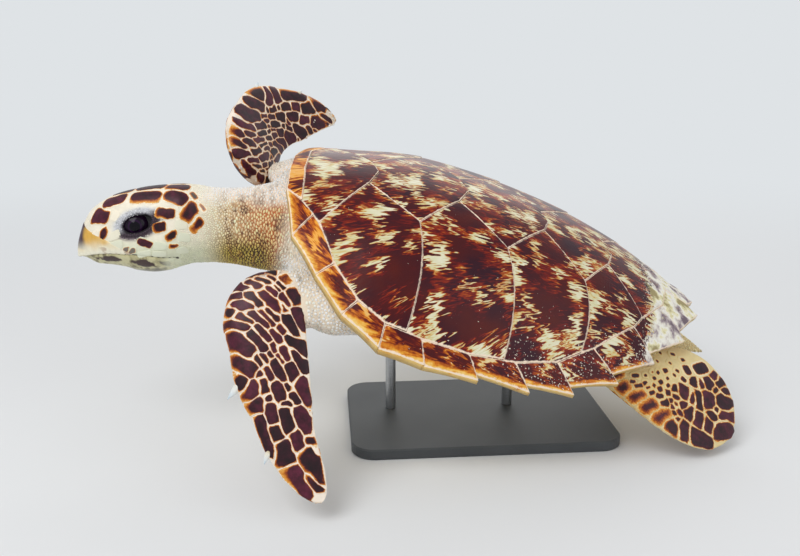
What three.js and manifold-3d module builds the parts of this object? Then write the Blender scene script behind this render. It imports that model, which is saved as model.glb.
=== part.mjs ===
// Hawksbill sea turtle (Eretmochelys imbricata), a life-size still model held by a display stand.
// The object stands on z = 0, +Z up, its head towards -X; the origin is under the stand's middle.
// Each body part is shaped in the body frame: +X to the tail, +Y to the animal's right, +Z to its
// back, with the origin just under the front edge of the shell. Lengths are millimetres, and the
// shell's proportions are fractions of SHELL.

import * as THREE from 'three';
import { mergeVertices } from 'three/addons/utils/BufferGeometryUtils.js';
import Module from 'manifold-3d';

const wasm = await Module();
wasm.setup();

// Driving dimensions
const SHELL = 480;
const GAP = 0.3;
const PITCH = 15.83;
const BANK = 21.14;
const BODY_X = -231;
const BODY_LIFT = 260;
const BASE = { length: 300, width: 200, height: 12, corner: 24, bevel: 1.5 };
const ROD = { radius: 6, front: [-100, 16, 190], rear: [40, 16, 150] };

// Finishes
const finish = (color, roughness, metalness = 0) =>
  new THREE.MeshStandardMaterial({ color, roughness, metalness });
const SCUTE = finish('#5a2415', 0.35);
const RIM_SCUTE = finish('#7a3d18', 0.4);
const TAIL_SCUTE = finish('#b9a284', 0.5);
const BELLY = finish('#e0cf98', 0.5);
const SKIN = finish('#d8c9a0', 0.6);
const HEAD_SKIN = finish('#7b5a45', 0.5);
const FLIPPER = finish('#4a2a2a', 0.5);
const HORN = finish('#e2d3a2', 0.4);
const CLAW = finish('#efe9da', 0.4);
const EYE = finish('#14100e', 0.1);
const STAND_PAINT = finish('#3b3e41', 0.5, 0.2);
const STAND_STEEL = finish('#b9bcbf', 0.3, 1);

// ---- tools for shapes ----

const { clamp, lerp, degToRad } = THREE.MathUtils;
const point = (x, y, z) => new THREE.Vector3(x, y, z);
const side = (hand) => (hand < 0 ? 'left' : 'right');

// Smooth curves through the rows of a table: the first column is the place, the others the values.
// Slopes are the harmonic mean of their neighbours', so a curve never overshoots its rows.
function curves(rows) {
  const slope = rows.map((row, i) =>
    row.map((value, k) => {
      if (i === 0 || i === rows.length - 1) return 0;
      const before = (value - rows[i - 1][k]) / (row[0] - rows[i - 1][0]);
      const after = (rows[i + 1][k] - value) / (rows[i + 1][0] - row[0]);
      return before * after > 0 ? (2 * before * after) / (before + after) : 0;
    }),
  );
  return (place) => {
    let i = 0;
    while (i < rows.length - 2 && place > rows[i + 1][0]) i += 1;
    const span = rows[i + 1][0] - rows[i][0];
    const t = clamp((place - rows[i][0]) / span, 0, 1);
    const ease = t * t * (3 - 2 * t);
    const leave = t * (1 - t) * (1 - t) * span;
    const arrive = t * t * (1 - t) * span;
    return rows[i].map((value, k) =>
      lerp(value, rows[i + 1][k], ease) + slope[i][k] * leave - slope[i + 1][k] * arrive);
  };
}

// A closed surface on a sphere's net: rows run from pole to pole, columns go round.
function net(rows, columns, surface) {
  const geometry = new THREE.SphereGeometry(1, columns, rows);
  const place = geometry.attributes.position;
  for (let i = 0; i < place.count; i += 1) {
    const row = Math.floor(i / (columns + 1));
    const column = (i % (columns + 1)) % columns;
    const p = surface(row / rows, column, (2 * Math.PI * column) / columns);
    place.setXYZ(i, p.x, p.y, p.z);
  }
  return geometry;
}

// Six times the volume that an indexed geometry closes, negative when it is inside out
function signedVolume(geometry) {
  const corner = (k) =>
    new THREE.Vector3().fromBufferAttribute(geometry.attributes.position, geometry.index.getX(k));
  let sum = 0;
  for (let k = 0; k < geometry.index.count; k += 3) {
    sum += corner(k).dot(corner(k + 1).cross(corner(k + 2)));
  }
  return sum;
}

// A three.js geometry as a solid for joining and cutting
function solid(geometry) {
  const bare = geometry.clone();
  bare.deleteAttribute('normal');
  bare.deleteAttribute('uv');
  const merged = mergeVertices(bare, 1e-3);
  const triVerts = new Uint32Array(merged.index.array);
  if (signedVolume(merged) < 0) triVerts.reverse();
  const vertProperties = new Float32Array(merged.attributes.position.array);
  return new wasm.Manifold(new wasm.Mesh({ numProp: 3, vertProperties, triVerts }));
}

// The largest separate body of a solid, as a named mesh
function addMesh(parent, name, shape, material) {
  const bodies = shape.decompose().sort((a, b) => b.volume() - a.volume());
  const { vertProperties, triVerts } = bodies[0].getMesh();
  const geometry = new THREE.BufferGeometry();
  geometry.setAttribute('position', new THREE.BufferAttribute(vertProperties, 3));
  geometry.setIndex(new THREE.BufferAttribute(triVerts, 1));
  geometry.computeVertexNormals();
  const mesh = new THREE.Mesh(geometry, material);
  mesh.name = name;
  parent.add(mesh);
}

// ---- frames: the body banks and pitches as in a gliding turn, the head stays level ----

const tilt = new THREE.Matrix4()
  .makeRotationY(degToRad(PITCH))
  .multiply(new THREE.Matrix4().makeRotationX(degToRad(BANK)));
const untilt = tilt.clone().invert();
const fromLevel = (x, y, z) => point(x, y, z).applyMatrix4(untilt);

const turtle = new THREE.Group();
const body = new THREE.Group();
body.position.set(BODY_X, 0, BODY_LIFT);
body.quaternion.setFromRotationMatrix(tilt);
const level = new THREE.Group();
level.position.copy(body.position);
turtle.add(body, level);

// ---- the shell's surface ----

const CROWN = { at: 0.339, front: 0.104, top: 0.171, rear: 0.035, rise: 1.65, fall: 1.875, arch: 2.14 };
const WIDEST = { at: 0.42, half: 0.369, front: 0.45, frontPower: 2.2, rear: 0.61, rearPower: 2, round: 0.6 };
const rimCurve = curves([
  [0, 0.073], [0.2, 0], [0.45, -0.02], [0.8, 0.004], [0.9, 0.006], [1, 0.018], [1.05, 0.02],
]);

// Half the shell's width at a fraction x of its length
function halfWidth(x) {
  const { at, half, front, frontPower, rear, rearPower, round } = WIDEST;
  const off = x < at ? ((at - x) / front) ** frontPower : ((x - at) / rear) ** rearPower;
  return half * clamp(1 - off, 0.01, 1) ** round;
}

function rimHeight(x) {
  return rimCurve(x)[1];
}

function crownHeight(x) {
  const { at, front, top, rear, rise, fall } = CROWN;
  if (x < at) return front + (top - front) * (1 - ((at - x) / at) ** rise);
  return rear + (top - rear) * (1 - ((x - at) / (1 - at)) ** fall);
}

// The shell's height over the body's plane, all in fractions: an arch from rim to rim
function shellHeight(x, y) {
  const across = clamp(Math.abs(y) / halfWidth(clamp(x, 0, 1)), 0, 1.2);
  const rim = rimHeight(x);
  return rim + (crownHeight(clamp(x, 0, 1.04)) - rim) * (1 - across ** CROWN.arch);
}

// The belly's height, in fractions: a keel line along its middle that rises late to the rim
const BELLY_ROUND = { power: 6, reach: 0.96 };
const keelCurve = curves([
  [0, -0.07], [0.08, -0.105], [0.2, -0.138], [0.45, -0.155],
  [0.7, -0.138], [0.85, -0.1], [0.95, -0.055], [1.02, -0.01],
]);
function bellyHeight(x, y) {
  const across = clamp(Math.abs(y) / (BELLY_ROUND.reach * halfWidth(clamp(x, 0, 1))), 0, 1);
  return lerp(keelCurve(x)[1], rimHeight(x), across ** BELLY_ROUND.power);
}

// A plate over an outline in plan: rings from the middle of its top round its edge to below
function plate(outline, topAt, bottomAt, rings, grow = 0) {
  const middle = outline.reduce((sum, p) => sum.add(p), new THREE.Vector2()).divideScalar(outline.length);
  const rows = 2 * rings.length + 1;
  return net(rows, outline.length, (v, column) => {
    const row = Math.round(v * rows);
    const upper = row <= rings.length;
    const ring = upper ? row : rows - row;
    const spoke = outline[column].clone().sub(middle);
    const reach = ring === 0 ? 0 : rings[ring - 1];
    const p = spoke.clone().multiplyScalar(reach).add(middle);
    const z = upper ? topAt(p.x, p.y) + grow : bottomAt(p.x, p.y) - grow;
    p.addScaledVector(spoke.normalize(), grow * reach);
    return point(p.x, p.y, z);
  });
}

// ---- scutes ----

const PLATE = { thickness: 5, step: 33, seam: 0.3, lap: 1.6, bedding: 2.2 };
const rimThickness = curves([[0, 6], [0.2, 8], [0.32, 8], [0.45, 5], [0.7, 4], [1.1, 3.5]]);

// Corners where three scutes meet, on the right half: fractions along and across the shell
const CORNER = {
  front: [0.018, 0], nuchalRear: [0.05, 0], v1v2: [0.209, 0], v2v3: [0.415, 0],
  v3v4: [0.616, 0], v4v5: [0.792, 0], v5s: [0.955, 0], notch: [1.022, 0],
  nuchalOut: [0.022, 0.077], nuchalIn: [0.058, 0.113], v1Out: [0.103, 0.167],
  c1v: [0.192, 0.047], v2Out: [0.308, 0.142], c2v: [0.393, 0.051], v3Out: [0.509, 0.143],
  c3v: [0.602, 0.04], v4Out: [0.702, 0.141], c4v: [0.774, 0.048], v5Out: [0.862, 0.15],
  c1c2: [0.323, 0.343], c2c3: [0.535, 0.347], c3c4: [0.705, 0.29],
  in1: [0.088, 0.15], in2: [0.152, 0.244], in3: [0.215, 0.303], in4: [0.278, 0.335], in5: [0.357, 0.349],
  in6: [0.461, 0.353], in7: [0.561, 0.345], in8: [0.654, 0.322], in9: [0.735, 0.272], in10: [0.838, 0.184],
  in11: [0.93, 0.075],
  out1: [0.055, 0.194], out2: [0.12, 0.264], out3: [0.189, 0.322], out4: [0.276, 0.37], out5: [0.374, 0.384],
  out6: [0.491, 0.386], out7: [0.605, 0.381], out8: [0.705, 0.36], out9: [0.81, 0.306], out10: [0.905, 0.224],
  out11: [0.995, 0.13], tip: [1.05, 0.026],
};

// The scutes that lap the next one at the rear edge start behind a notch, so the rim is toothed
const FIRST_TOOTH = 6;
const NOTCH = 0.27;
for (let k = FIRST_TOOTH; k <= 11; k += 1) {
  const [tooth, root] = [CORNER[`out${k}`], CORNER[`in${k}`]];
  CORNER[`next${k}`] = tooth.map((value, axis) => lerp(value, root[axis], NOTCH));
}
const startOf = (k) => (k >= FIRST_TOOTH ? `next${k}` : `out${k}`);

// How far a seam bows to the rear, as a fraction of the shell, from one named corner to another
const BOW = { 'v2Out c1c2': 0.012, 'v3Out c2c3': 0.014, 'v4Out c3c4': 0.012, 'c1v v2Out': -0.006 };

// The points of one seam, without its last: straight or bowed, in steps no longer than step
function seam(from, to, step = PLATE.step) {
  const [a, b] = [CORNER[from], CORNER[to]].map(([x, y]) => new THREE.Vector2(x, y));
  const bow = BOW[`${from} ${to}`] ?? BOW[`${to} ${from}`] ?? 0;
  const count = Math.max(1, Math.ceil((a.distanceTo(b) * SHELL) / step));
  return Array.from({ length: count }, (_, i) => {
    const t = i / count;
    return a.clone().lerp(b, t).add(new THREE.Vector2(4 * bow * t * (1 - t), 0));
  });
}

// The closed outline through named corners, in millimetres, for the right or left side
function outlineOf(names, hand) {
  return names
    .flatMap((name, i) => seam(name, names[(i + 1) % names.length]))
    .map((p) => new THREE.Vector2(p.x * SHELL, hand * p.y * SHELL));
}

// An outline that crosses the midline: the right half's seams, then their mirror images
function mirroredOutline(names, step = PLATE.step) {
  const half = names.slice(1).flatMap((name, i) => seam(names[i], name, step));
  const last = new THREE.Vector2(...CORNER[names[names.length - 1]]);
  const whole = [...half, last, ...half.slice(1).reverse().map((p) => new THREE.Vector2(p.x, -p.y))];
  return whole.map((p) => p.multiplyScalar(SHELL));
}

// One scute: it follows the shell's surface and rises a little to its rear edge, over the next one
function scute(outline, thicknessAt) {
  const xs = outline.map((p) => p.x);
  const [start, end] = [Math.min(...xs), Math.max(...xs)];
  const surface = (x, y) => SHELL * shellHeight(x / SHELL, y / SHELL);
  const top = (x, y) => surface(x, y) + PLATE.lap * clamp((x - start) / (end - start), 0, 1) ** 2;
  const bottom = (x, y) => surface(x, y) - thicknessAt(x / SHELL);
  return solid(plate(outline, top, bottom, [0.55, 1], -PLATE.seam / 2));
}

const evenThickness = () => PLATE.thickness;
const marginThickness = (x) => rimThickness(x)[1];
const shell = new THREE.Group();
body.add(shell);

const MIDLINE = {
  nuchal: ['front', 'nuchalOut', 'nuchalIn', 'nuchalRear'],
  vertebral_1: ['nuchalRear', 'nuchalIn', 'in1', 'v1Out', 'c1v', 'v1v2'],
  vertebral_2: ['v1v2', 'c1v', 'v2Out', 'c2v', 'v2v3'],
  vertebral_3: ['v2v3', 'c2v', 'v3Out', 'c3v', 'v3v4'],
  vertebral_4: ['v3v4', 'c3v', 'v4Out', 'c4v', 'v4v5'],
  vertebral_5: ['v4v5', 'c4v', 'v5Out', 'in11', 'v5s'],
};
for (const [name, corners] of Object.entries(MIDLINE)) {
  addMesh(shell, name, scute(mirroredOutline(corners), evenThickness), SCUTE);
}

const COSTAL = [
  ['v1Out', 'c1v', 'v2Out', 'c1c2', 'in4', 'in3', 'in2'],
  ['v2Out', 'c2v', 'v3Out', 'c2c3', 'in6', 'in5', 'c1c2'],
  ['v3Out', 'c3v', 'v4Out', 'c3c4', 'in8', 'in7', 'c2c3'],
  ['v4Out', 'c4v', 'v5Out', 'in10', 'in9', 'c3c4'],
];

// The inner edge of each marginal scute, from its front corner to its rear corner
const MARGINAL_INNER = [
  ['nuchalIn', 'in1'], ['in1', 'v1Out', 'in2'], ['in2', 'in3'], ['in3', 'in4'], ['in4', 'c1c2', 'in5'],
  ['in5', 'in6'], ['in6', 'c2c3', 'in7'], ['in7', 'in8'], ['in8', 'c3c4', 'in9'], ['in9', 'in10'],
  ['in10', 'v5Out', 'in11'],
];

for (const hand of [-1, 1]) {
  COSTAL.forEach((corners, i) => {
    addMesh(shell, `costal_${side(hand)}_${i + 1}`, scute(outlineOf(corners, hand), evenThickness), SCUTE);
  });
  MARGINAL_INNER.forEach((inner, i) => {
    const k = i + 1;
    const frontOuter = i === 0 ? 'nuchalOut' : startOf(i);
    const rear = k >= FIRST_TOOTH ? [`next${k}`, `out${k}`] : [`out${k}`];
    const outline = outlineOf([...inner, ...rear, frontOuter], hand);
    const material = k < 9 ? RIM_SCUTE : TAIL_SCUTE;
    addMesh(shell, `marginal_${side(hand)}_${k}`, scute(outline, marginThickness), material);
  });
  const last = outlineOf(['v5s', 'in11', 'next11', 'tip', 'notch'], hand);
  addMesh(shell, `supracaudal_${side(hand)}`, scute(last, evenThickness), TAIL_SCUTE);
}

// The room that the scutes take from the flesh: everything above their undersides, in plan
const outer = Array.from({ length: 11 }, (_, i) => `out${i + 1}`);
const rimOutline = mirroredOutline(['front', 'nuchalOut', ...outer, 'tip', 'notch'], SHELL);
const ROOM = { height: 260, rings: [0.35, 0.65, 0.86, 1] };
function underShell(x, y) {
  const rimward = clamp(Math.abs(y) / (SHELL * halfWidth(x / SHELL)), 0, 1) ** 4;
  const thickness = lerp(PLATE.thickness, marginThickness(x / SHELL), rimward);
  return SHELL * shellHeight(x / SHELL, y / SHELL) - thickness - PLATE.bedding;
}
const shellRoom = solid(plate(rimOutline, () => ROOM.height, underShell, ROOM.rings, 2 * GAP));

// ---- plastron: the belly's plates, joined to the rim by a bridge on each side ----

const PLASTRON = { thickness: 8, halfBridge: 0.315, bridgeFrom: 0.34, bridgeTo: 0.6 };
const plastronWidth = curves([
  [0.09, 0.04], [0.13, 0.13], [0.2, 0.2], [0.29, 0.24], [PLASTRON.bridgeFrom, PLASTRON.halfBridge],
  [PLASTRON.bridgeTo, PLASTRON.halfBridge], [0.66, 0.235], [0.74, 0.17], [0.83, 0.11], [0.89, 0.035],
]);
const plastronPlaces = [0.09, 0.13, 0.2, 0.27, 0.32, 0.4, 0.5, 0.58, 0.64, 0.72, 0.81, 0.89];
const plastronOutline = [
  ...plastronPlaces.map((x) => new THREE.Vector2(x, plastronWidth(x)[1])),
  ...plastronPlaces.map((x) => new THREE.Vector2(x, -plastronWidth(x)[1])).reverse(),
].map((p) => p.multiplyScalar(SHELL));
const bellyBottom = (x, y) => SHELL * bellyHeight(x / SHELL, y / SHELL);
const plastronShape = (grow) => solid(plate(
  plastronOutline, (x, y) => bellyBottom(x, y) + PLASTRON.thickness, bellyBottom, [0.4, 0.72, 1], grow));
const plastron = plastronShape(0);
const plastronRoom = plastronShape(GAP);
addMesh(body, 'plastron', plastron, BELLY);

// ---- limbs: a flipper's plan as thick skin along a line that can bend ----

// Where a limb's centre line is at a place along it, as lengths along the span, across and towards
// the back. It turns evenly over the range bend, by fold in its plane and by curl towards the back.
function centreLine(place, { bend = [0, 1], fold = 0, curl = 0 }) {
  const count = Math.max(1, Math.ceil(Math.abs(place) / 4));
  const step = place / count;
  const at = point(0, 0, 0);
  for (let i = 0; i < count; i += 1) {
    const turned = clamp(((i + 0.5) * step - bend[0]) / (bend[1] - bend[0]), 0, 1);
    const [inPlane, lift] = [degToRad(fold) * turned, degToRad(curl) * turned];
    at.x += step * Math.cos(inPlane) * Math.cos(lift);
    at.y += step * Math.sin(inPlane) * Math.cos(lift);
    at.z += step * Math.sin(lift);
  }
  const turned = clamp((place - bend[0]) / (bend[1] - bend[0]), 0, 1);
  return { at, inPlane: degToRad(fold) * turned };
}

// The limb's own coordinates in the body frame: along its span, across from its leading to its
// trailing edge, and out towards its back
function limbFrame(limb, hand) {
  const span = point(...limb.span).normalize();
  const back = span.clone().cross(point(...limb.chord)).multiplyScalar(-hand).normalize();
  const across = span.clone().cross(back).multiplyScalar(hand).normalize();
  const origin = point(...limb.origin).multiplyScalar(SHELL);
  return (along, wide, out) => {
    const { at, inPlane } = centreLine(along, limb);
    const off = wide - limb.pivot;
    return origin.clone()
      .addScaledVector(span, at.x - off * Math.sin(inPlane))
      .addScaledVector(across, at.y + off * Math.cos(inPlane))
      .addScaledVector(back, at.z + out);
  };
}

// A flipper from its plan's rows: place along the span, leading edge, trailing edge, thickness.
// Its section is an ellipse made thicker to the leading edge.
const LIMB = { rows: 16, columns: 12, blunt: 0.3 };
function flipperShape(limb, hand, grow) {
  const plan = curves(limb.rows);
  const place = limbFrame(limb, hand);
  const [first, last] = [limb.rows[0][0], limb.rows[limb.rows.length - 1][0]];
  return solid(net(LIMB.rows, LIMB.columns, (v, column, angle) => {
    const [, lead, trail, thick] = plan(lerp(first, last, v));
    const open = v === 0 || v === 1 ? 0 : 1;
    const across = (lead + trail) / 2 + open * ((trail - lead) / 2 + grow) * Math.cos(angle);
    const out = open * (thick / 2 + grow) * Math.sin(angle) * (1 - LIMB.blunt * Math.cos(angle));
    return place(lerp(first - grow, last + grow, v), across, out);
  }));
}

// A body of elliptical sections between two points, which closes over a part of its length
function muscle(from, to, rows, flat, close = 0.2, count = [7, 12]) {
  const lengthwise = to.clone().sub(from).normalize();
  const high = flat.clone().addScaledVector(lengthwise, -flat.dot(lengthwise)).normalize();
  const wide = high.clone().cross(lengthwise);
  const plan = curves(rows);
  return solid(net(...count, (v, column, angle) => {
    const [, halfWide, halfHigh] = plan(v);
    const open = v === 0 || v === 1 ? 0 : Math.sqrt(Math.min(1, v / close, (1 - v) / close));
    return from.clone().lerp(to, v)
      .addScaledVector(wide, open * halfWide * Math.cos(angle))
      .addScaledVector(high, open * halfHigh * Math.sin(angle));
  }));
}

const inBody = ([x, y, z]) => point(x, y, z).multiplyScalar(SHELL);

// ---- fore flippers and their claws ----

const FORE_PLAN = [
  [-31, 22, 34, 8], [-27, 2, 41, 17], [-17, -16, 45, 22], [5, -28, 48, 25], [25, -30, 51, 24],
  [50, -23, 54, 20], [75, -18, 57, 16], [99, -9, 59, 13], [118, 2, 61, 10.5], [144, 14, 67, 8],
  [164, 27, 73, 6], [182, 44, 75, 4.5], [190, 57, 73, 3], [193, 63, 70, 2],
];

// The folded right flipper's trailing skin is slack, so it hangs wider between its root and tip
const SLACK = { width: 16, from: -35, fullFrom: -15, fullTo: 120, to: 170 };
const FOLDED_PLAN = FORE_PLAN.map(([along, lead, trail, thick]) => {
  const opens = clamp((along - SLACK.from) / (SLACK.fullFrom - SLACK.from), 0, 1);
  const closes = clamp((SLACK.to - along) / (SLACK.to - SLACK.fullTo), 0, 1);
  return [along, lead, trail + SLACK.width * opens * closes, thick];
});
const FORE = {
  left: {
    rows: FORE_PLAN, origin: [0.014, -0.3, -0.042], span: [0.184, -0.802, -0.569],
    chord: [0.959, 0.019, 0.284], pivot: 0, bend: [20, 120], curl: -6,
  },
  right: {
    rows: FOLDED_PLAN, origin: [-0.072, 0.257, -0.041], span: [-0.2, 0.877, 0.437],
    chord: [0.705, 0.438, -0.557], pivot: 20, bend: [20, 120], fold: 48, curl: 17,
  },
};

// Claws stand on the leading edge: root and tip as places along and across, and the root's radius
const CLAWS = {
  left: [{ root: [74, -12], tip: [98, -22], radius: 4.5 }, { root: [143, 18], tip: [158, 15], radius: 3.2 }],
  right: [{ root: [74, -12], tip: [96, -15], radius: 4.5 }, { root: [143, 18], tip: [157, 17], radius: 3.2 }],
};

function claw(place, { root, tip, radius }) {
  const [from, to] = [place(...root, 0), place(...tip, 0)];
  const taper = [[0, radius, radius], [0.4, radius, 0.9 * radius], [1, 0.6, 0.6]];
  return muscle(from, to, taper, place(...root, 1).sub(place(...root, 0)), 0.08, [5, 7]);
}

const foreFlipper = {};
for (const hand of [-1, 1]) {
  const name = side(hand);
  foreFlipper[name] = { shape: flipperShape(FORE[name], hand, 0), room: flipperShape(FORE[name], hand, GAP) };
  addMesh(body, `flipper_fore_${name}`, foreFlipper[name].shape.subtract(shellRoom), FLIPPER);
  CLAWS[name].forEach((shape, i) => {
    const horn = claw(limbFrame(FORE[name], hand), shape).subtract(foreFlipper[name].room);
    addMesh(body, `claw_${name}_${i + 1}`, horn, CLAW);
  });
}

// ---- trunk: the flesh between shell and plastron, with the shoulders, hips and neck root ----

// An ellipsoid in the body frame, all in fractions of the shell
function ellipsoid([x, y, z], [rx, ry, rz], turn, grow) {
  const ball = new THREE.SphereGeometry(1, 14, 8);
  ball.scale(SHELL * rx + grow, SHELL * ry + grow, SHELL * rz + grow);
  ball.rotateZ(degToRad(turn));
  ball.translate(SHELL * x, SHELL * y, SHELL * z);
  return solid(ball);
}

const TRUNK = { reach: 0.955, skin: 2, under: 3.5, front: 0.035, rear: 0.99, points: 28 };
const trunkOutline = Array.from({ length: TRUNK.points }, (_, i) => {
  const turn = (2 * Math.PI * i) / TRUNK.points;
  const x = lerp(TRUNK.front, TRUNK.rear, 0.5 - 0.5 * Math.cos(turn));
  const sharpen = Math.sign(Math.sin(turn)) * Math.min(1, 1.6 * Math.abs(Math.sin(turn)));
  return new THREE.Vector2(SHELL * x, SHELL * TRUNK.reach * halfWidth(x) * sharpen);
});
const trunkSlab = (grow) => solid(plate(
  trunkOutline,
  (x, y) => Math.max(underShell(x, y) - TRUNK.under, bellyBottom(x, y) + 2 * TRUNK.skin),
  (x, y) => bellyBottom(x, y) + TRUNK.skin,
  [0.4, 0.75, 1],
  grow));
const SHOULDER = { at: [0.17, 0.215, -0.045], size: [0.115, 0.1, 0.066], turn: -38 };
const HIP = { at: [0.80, 0.15, -0.045], size: [0.14, 0.09, 0.055], turn: 28 };
const NECK_ROOT = { at: [0.1, 0, -0.005], size: [0.13, 0.17, 0.1] };
function trunkShape(grow) {
  let shape = trunkSlab(grow).add(ellipsoid(NECK_ROOT.at, NECK_ROOT.size, 0, grow));
  for (const hand of [-1, 1]) {
    for (const { at, size, turn } of [SHOULDER, HIP]) {
      shape = shape.add(ellipsoid([at[0], hand * at[1], at[2]], size, -hand * turn, grow));
    }
  }
  return shape;
}
const trunkRoom = trunkShape(GAP);
let trunk = trunkShape(0).subtract(shellRoom).subtract(plastronRoom);
for (const name of ['left', 'right']) trunk = trunk.subtract(foreFlipper[name].room);
addMesh(body, 'trunk', trunk, SKIN);

// ---- upper arms, between the shoulders and the fore flippers ----

// The upper arm runs from inside the shoulder to the flipper's root: place, half-width, half-height
const ARM_ROWS = [[0, 30, 18], [0.3, 36, 24], [0.7, 34, 20], [1, 30, 13]];
const ARM = {
  left: { from: [0.19, -0.2, -0.04], to: [0.055, -0.3, -0.035], flat: [-0.2, -0.4, 0.9] },
  right: { from: [0.17, 0.2, -0.05], to: [-0.03, 0.258, -0.052], flat: [0.6, -0.2, 0.7] },
};

for (const name of ['left', 'right']) {
  const { from, to, flat } = ARM[name];
  const upper = muscle(inBody(from), inBody(to), ARM_ROWS, point(...flat));
  const shape = upper.subtract(foreFlipper[name].room).subtract(trunkRoom).subtract(shellRoom);
  addMesh(body, `arm_${name}`, shape, SKIN);
}

// ---- hind flippers and tail ----

const HIND_PLAN = [
  [-112, -12, 14, 20], [-95, -32, 30, 34], [-48, -49, 42, 34], [-4, -53, 50, 24], [22, -54, 66, 18],
  [45, -52, 71, 14], [68, -46, 67, 10], [91, -32, 52, 7], [103, -13, 32, 4.5], [109, 3, 15, 2.5],
];
const HIND_BEND = { rows: HIND_PLAN, pivot: 0, bend: [-20, 60], curl: -4 };
const HIND = {
  left: {
    ...HIND_BEND, origin: [0.93, -0.2, -0.06], span: [0.884, -0.422, -0.201], chord: [0.464, 0.844, 0.268],
  },
  right: {
    ...HIND_BEND, origin: [0.92, 0.2, -0.075], span: [0.86, 0.3, -0.42], chord: [0.3, -0.9, 0.2],
  },
};
const TAIL_ROWS = [[0, 32, 22], [0.35, 26, 18], [0.7, 16, 11], [1, 5, 4]];
const TAIL = { from: [0.83, 0, -0.045], to: [1.13, 0, -0.098], close: 0.12 };
function tailShape(grow) {
  const rows = TAIL_ROWS.map(([place, halfWide, halfHigh]) => [place, halfWide + grow, halfHigh + grow]);
  return muscle(inBody(TAIL.from), inBody(TAIL.to), rows, point(0, 0, 1), TAIL.close);
}
const tailRoom = tailShape(GAP);
const tail = tailShape(0).subtract(trunkRoom).subtract(shellRoom).subtract(plastronRoom);
addMesh(body, 'tail', tail, SKIN);
for (const hand of [-1, 1]) {
  const name = side(hand);
  const flipper = flipperShape(HIND[name], hand, 0);
  const shape = flipper.subtract(trunkRoom).subtract(shellRoom).subtract(tailRoom).subtract(plastronRoom);
  addMesh(body, `flipper_hind_${name}`, shape, FLIPPER);
}

// ---- head, in the level frame: the body frame's origin, without its bank and pitch ----

// Place along the head, half-width, top and bottom
const HEAD_ROWS = [
  [-211, 3, -47, -54], [-209, 6.5, -36, -56], [-206, 9.5, -26, -57], [-200, 13, -11, -58.5],
  [-193, 17, 0, -59.5], [-186, 20, 6, -60], [-175, 24.5, 12.5, -61], [-160, 29, 18, -63.5],
  [-145, 32, 21.5, -68], [-130, 34.5, 24, -69.5], [-112, 36.5, 25.5, -67.5], [-97, 36.5, 26, -63],
  [-84, 35.5, 26, -61], [-70, 34, 24, -60],
];
const HEAD = { rows: 18, columns: 18, forward: 1.35, power: 2.35 };
const headPlan = curves(HEAD_ROWS);

// A rounded section: its half-sizes follow an ellipse with flattened sides for a power over 2
function roundSection(angle, power) {
  const [c, s] = [Math.cos(angle), Math.sin(angle)];
  const round = (v) => Math.sign(v) * Math.abs(v) ** (2 / power);
  return [round(c), round(s)];
}

function headShape(grow) {
  const [first, last] = [HEAD_ROWS[0][0], HEAD_ROWS[HEAD_ROWS.length - 1][0]];
  return net(HEAD.rows, HEAD.columns, (v, column, angle) => {
    const place = lerp(first - grow, last + grow, v ** HEAD.forward);
    const [, half, top, bottom] = headPlan(place);
    const open = v === 0 || v === 1 ? 0 : 1;
    const [wide, high] = roundSection(angle, HEAD.power);
    const middle = (top + bottom) / 2;
    return point(place, open * (half + grow) * wide, middle + open * (top - middle + grow) * high);
  });
}

// A prism across the head over an outline in its side view
function acrossHead(outline) {
  const shape = new THREE.Shape(outline.map(([x, z]) => new THREE.Vector2(x, z)));
  const prism = new THREE.ExtrudeGeometry(shape, { depth: 120, bevelEnabled: false });
  prism.rotateX(Math.PI / 2);
  prism.translate(0, 60, 0);
  return solid(prism);
}

const MOUTH = [
  [-220, -52], [-205, -50.5], [-190, -47.5], [-170, -45.5],
  [-150, -45.5], [-130, -47], [-112, -49], [-98, -49],
];
const jawPrism = (grow) => acrossHead([
  ...MOUTH.map(([x, z]) => [x, z + grow]), [-90 + grow, -60], [-84 + grow, -90], [-220, -90],
]);
const beakPrism = (grow) => acrossHead([
  [-220, -60], [-148 + grow, -60], [-146 + grow, -44], [-160, -37 + grow], [-180, -27 + grow],
  [-196, -19 + grow], [-206, -10 + grow], [-220, -8 + grow],
]);

const EYE_AT = { x: -142.5, y: 19, z: -14 };
const EYE_SIZE = [16, 12, 14];
const EYE_OPENING = { size: [13.5, 10, 9], y: 33 };
function ball([rx, ry, rz], y, grow) {
  const shape = new THREE.SphereGeometry(1, 12, 8);
  shape.scale(rx + grow, ry + grow, rz + grow);
  shape.translate(EYE_AT.x, y, EYE_AT.z);
  return solid(shape);
}

const whole = solid(headShape(0));
const jaw = whole.intersect(jawPrism(0));
const beak = whole.intersect(beakPrism(0)).subtract(jawPrism(GAP));
let skull = whole.subtract(jawPrism(GAP)).subtract(beakPrism(GAP));
for (const hand of [-1, 1]) {
  skull = skull
    .subtract(ball(EYE_SIZE, hand * EYE_AT.y, GAP))
    .subtract(ball(EYE_OPENING.size, hand * EYE_OPENING.y, 0));
  addMesh(level, `eye_${side(hand)}`, ball(EYE_SIZE, hand * EYE_AT.y, 0), EYE);
}
addMesh(level, 'head', skull, HEAD_SKIN);
addMesh(level, 'beak_upper', beak, HORN);
addMesh(level, 'jaw_lower', jaw, HORN);

// ---- neck: from the level head to the banked shoulders ----

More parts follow.
